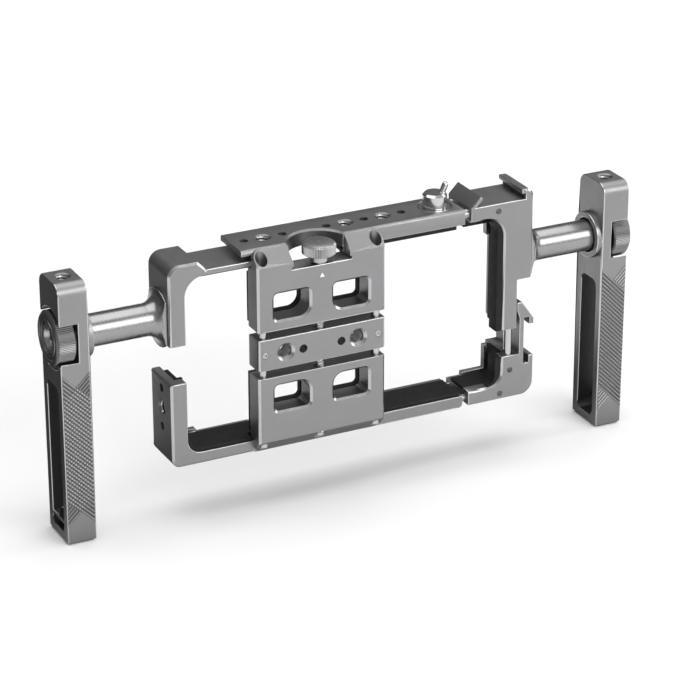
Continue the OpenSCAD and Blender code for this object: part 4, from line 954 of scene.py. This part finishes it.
class CAGE_OT_knurl(bpy.types.Operator):
    """Knurls both grips, front and back: points where two sets of grooves cross, ridges beyond"""

    bl_idname = "cage.knurl"
    bl_label = "Grip knurling"

    def execute(self, context):
        detail = context.scene.cage_detail
        half_turn = Matrix.Rotation(math.pi, 3, "Z")
        for side in ("left", "right"):
            low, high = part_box(side + "_grip")
            # The boss widens the grip's box on the cage's side, so the outer side gives the middle
            middle_x = low.x + GRIP_SIDE if side == "left" else high.x - GRIP_SIDE
            whole = bmesh.new()
            for front in (True, False):
                y = grip_middle().y + (-GRIP_FRONT if front else GRIP_FRONT)
                for panel in self.panels(detail):
                    if not front:
                        bmesh.ops.rotate(
                            panel, cent=(0, 0, 0), matrix=half_turn, verts=panel.verts)
                    bmesh.ops.translate(panel, vec=(middle_x, y, 0), verts=panel.verts)
                    merge(whole, panel)
            piece = add_piece(
                side + "_grip_knurl", whole, BODY_OF[side + "_grip"], "knurl", smooth=20)
        return {"FINISHED"}

    def panels(self, detail):
        """Five closed panels round Y = 0: points in the middle, and ridges in the side corners at
        each end."""
        half = KNURL_SIDE
        top, foot = detail.knurl_top, detail.knurl_foot
        falling = ((half, 0, top - 2 * half), Vector((1, 0, 1)))
        rising = ((-half, 0, top - 2 * half), Vector((-1, 0, 1)))
        low_falling = ((half, 0, foot), Vector((-1, 0, -1)))
        low_rising = ((-half, 0, foot), Vector((1, 0, -1)))
        points = self.field(detail, detail.knurl_notch, -1)
        for point, normal in (falling, rising, low_falling, low_rising):
            cut(points, point, normal)
        made = [points]
        # Ridges run on past the crossing field at the sides of each end
        for line, keep_in, keep_out in (
            (-1, falling, rising), (1, rising, falling),
            (-1, low_falling, low_rising), (1, low_rising, low_falling),
        ):
            ridges = self.field(detail, 0, line)
            cut(ridges, keep_in[0], keep_in[1])
            cut(ridges, keep_out[0], -keep_out[1])
            made.append(ridges)
        for panel in made:
            cut(panel, (half, 0, 0), (1, 0, 0))
            cut(panel, (-half, 0, 0), (-1, 0, 0))
            close_down(panel, KNURL_ROOT)
        return made

    def field(self, detail, notch, line):
        """A large field of ridges in X and Z. Where there are notches of that depth, every other
        place along a crest is one. Line is 1 or -1, for the way that the ridges lean."""
        pitch, height = detail.knurl_pitch, detail.knurl_height
        count = int(2 * KNURL_FIELD / pitch)
        span = count * pitch / 2
        step = pitch / 2
        along = 2 * count if notch else 1
        bm = bmesh.new()
        bmesh.ops.create_grid(bm, x_segments=along, y_segments=2 * count, size=span)
        crests = [v for v in bm.verts if round((v.co.y + span) / step) % 2]
        bmesh.ops.translate(bm, vec=(0, 0, height), verts=crests)
        if notch:
            notched = [v for v in crests if round((v.co.x + span) / step) % 2]
            bmesh.ops.translate(bm, vec=(0, 0, -notch), verts=notched)
        turn = Matrix.Rotation(line * math.pi / 4, 4, "Z")
        upright = Matrix.Rotation(math.pi / 2, 4, "X")
        lift = Matrix.Translation((0, 0, (detail.knurl_top + detail.knurl_foot) / 2))
        bmesh.ops.transform(bm, matrix=lift @ upright @ turn, verts=bm.verts)
        return bm


class CAGE_OT_threads(bpy.types.Operator):
    """Cuts the threads of the quarter-inch holes and of the lead screw"""

    bl_idname = "cage.threads"
    bl_label = "Threads"

    def execute(self, context):
        detail = context.scene.cage_detail
        for mount in frame["record"]["mounts"]:
            if mount["kind"] != "threaded_hole":
                continue
            name, dims = mount["name"], mount["dims"]
            body = next(b for start, b in HOLE_BODIES.items() if name.startswith(start))
            bm = self.hole_thread(detail, dims["r_mm"] * MM, dims["length_mm"] * MM)
            aim(bm, mount["pos_m"], mount["axis"])
            add_piece(name + "_thread", bm, body, "screw", smooth=30)
        self.lead_screw()
        return {"FINISHED"}

    def hole_thread(self, detail, r, length):
        pitch, depth = detail.thread_pitch, detail.thread_depth
        bm = helix([
            (r + THREAD_ROOT, 0.06 * pitch), (r - depth, 0.42 * pitch),
            (r - depth, 0.52 * pitch), (r + THREAD_ROOT, 0.88 * pitch)],
            pitch, (length - 0.8 * pitch) / pitch)
        bmesh.ops.translate(bm, vec=(0, 0, -length / 2), verts=bm.verts)
        return bm

    def lead_screw(self):
        """The lead screw: a core, and on it a thread of 4 mm lead for the lower plate and one of
        2 mm for the middle bar."""
        low, high, middle = box_of("lead_screw")
        length = (high.z - low.z) / MM
        r = (high.x - low.x) / 2 / MM
        whole = turned([
            (0.0, r - 0.75), (0.4, r - 0.35), (length - 0.4, r - 0.35), (length, r - 0.75),
            (length, 0.3), (length - 0.3, 0.2), (length - 0.3, 0.05)], 40)
        ridge = [
            ((r - 0.4) * MM, 0.0), (r * MM, 0.3 * MM), (r * MM, 0.5 * MM),
            ((r - 0.4) * MM, 0.8 * MM)]
        split = length * SCREW_SPLIT
        for start, stop, lead, starts in (
            (0.5, split, 4.0, 4), (split + 1.0, length - 4.0, 2.0, 2),
        ):
            turns = (stop - start - 1) / lead
            ridges = helix(ridge, lead * MM, turns, steps=32, starts=starts)
            bmesh.ops.translate(ridges, vec=(0, 0, start * MM), verts=ridges.verts)
            merge(whole, ridges)
        aim(whole, (middle.x, middle.y, low.z), (0, 0, 1))
        piece = add_piece(
            "lead_screw_threaded", whole, BODY_OF["lead_screw"], "upright", "lead_screw",
            smooth=30)


class CAGE_OT_mark(bpy.types.Operator):
    """Paints the small plain triangle under the thumbwheel"""

    bl_idname = "cage.mark"
    bl_label = "Pointer mark"

    def execute(self, context):
        low, high, middle = box_of("upper_plate")
        bm = bmesh.new()
        bmesh.ops.create_circle(bm, cap_ends=True, segments=3, radius=MARK_RADIUS)
        solid = bmesh.ops.extrude_face_region(bm, geom=bm.faces[:])["geom"]
        bmesh.ops.translate(bm, vec=(0, 0, MARK_THICKNESS), verts=points_in(solid))
        bmesh.ops.recalc_face_normals(bm, faces=bm.faces)
        aim(bm, (middle.x, low.y - MARK_GAP, MARK_Z), (0, -1, 0))
        add_piece("pointer_mark", bm, BODY_OF["upper_plate"], "mark")
        return {"FINISHED"}


class CAGE_PT_panel(bpy.types.Panel):
    """Lists the cage's operators and settings in the sidebar"""

    bl_label = "Phone cage"
    bl_space_type = "VIEW_3D"
    bl_region_type = "UI"
    bl_category = "Phone cage"

    def draw(self, context):
        for operator in OPERATORS:
            self.layout.operator(operator.bl_idname)
        for label, group in (
            ("Finish", context.scene.cage_finish),
            ("Detail", context.scene.cage_detail),
            ("Studio", context.scene.cage_studio),
        ):
            box = self.layout.box()
            box.label(text=label)
            for name in group.bl_rna.properties.keys():
                if name not in ("rna_type", "name"):
                    box.prop(group, name)


OPERATORS = [
    CAGE_OT_stage, CAGE_OT_metal, CAGE_OT_pads, CAGE_OT_wheels, CAGE_OT_knurl, CAGE_OT_threads,
    CAGE_OT_mark,
]
CLASSES = [CageFinish, CageDetail, CageStudio, *OPERATORS, CAGE_PT_panel]


def register():
    for cls in CLASSES:
        bpy.utils.register_class(cls)
    bpy.types.Scene.cage_finish = PointerProperty(type=CageFinish)
    bpy.types.Scene.cage_detail = PointerProperty(type=CageDetail)
    bpy.types.Scene.cage_studio = PointerProperty(type=CageStudio)


def unregister():
    del bpy.types.Scene.cage_finish
    del bpy.types.Scene.cage_detail
    del bpy.types.Scene.cage_studio
    for cls in reversed(CLASSES):
        bpy.utils.unregister_class(cls)


def main():
    register()
    bpy.ops.cage.stage()
    bpy.ops.cage.metal()
    bpy.ops.cage.pads()
    bpy.ops.cage.wheels()
    bpy.ops.cage.knurl()
    bpy.ops.cage.threads()
    bpy.ops.cage.mark()


if __name__ == "__main__":
    main()
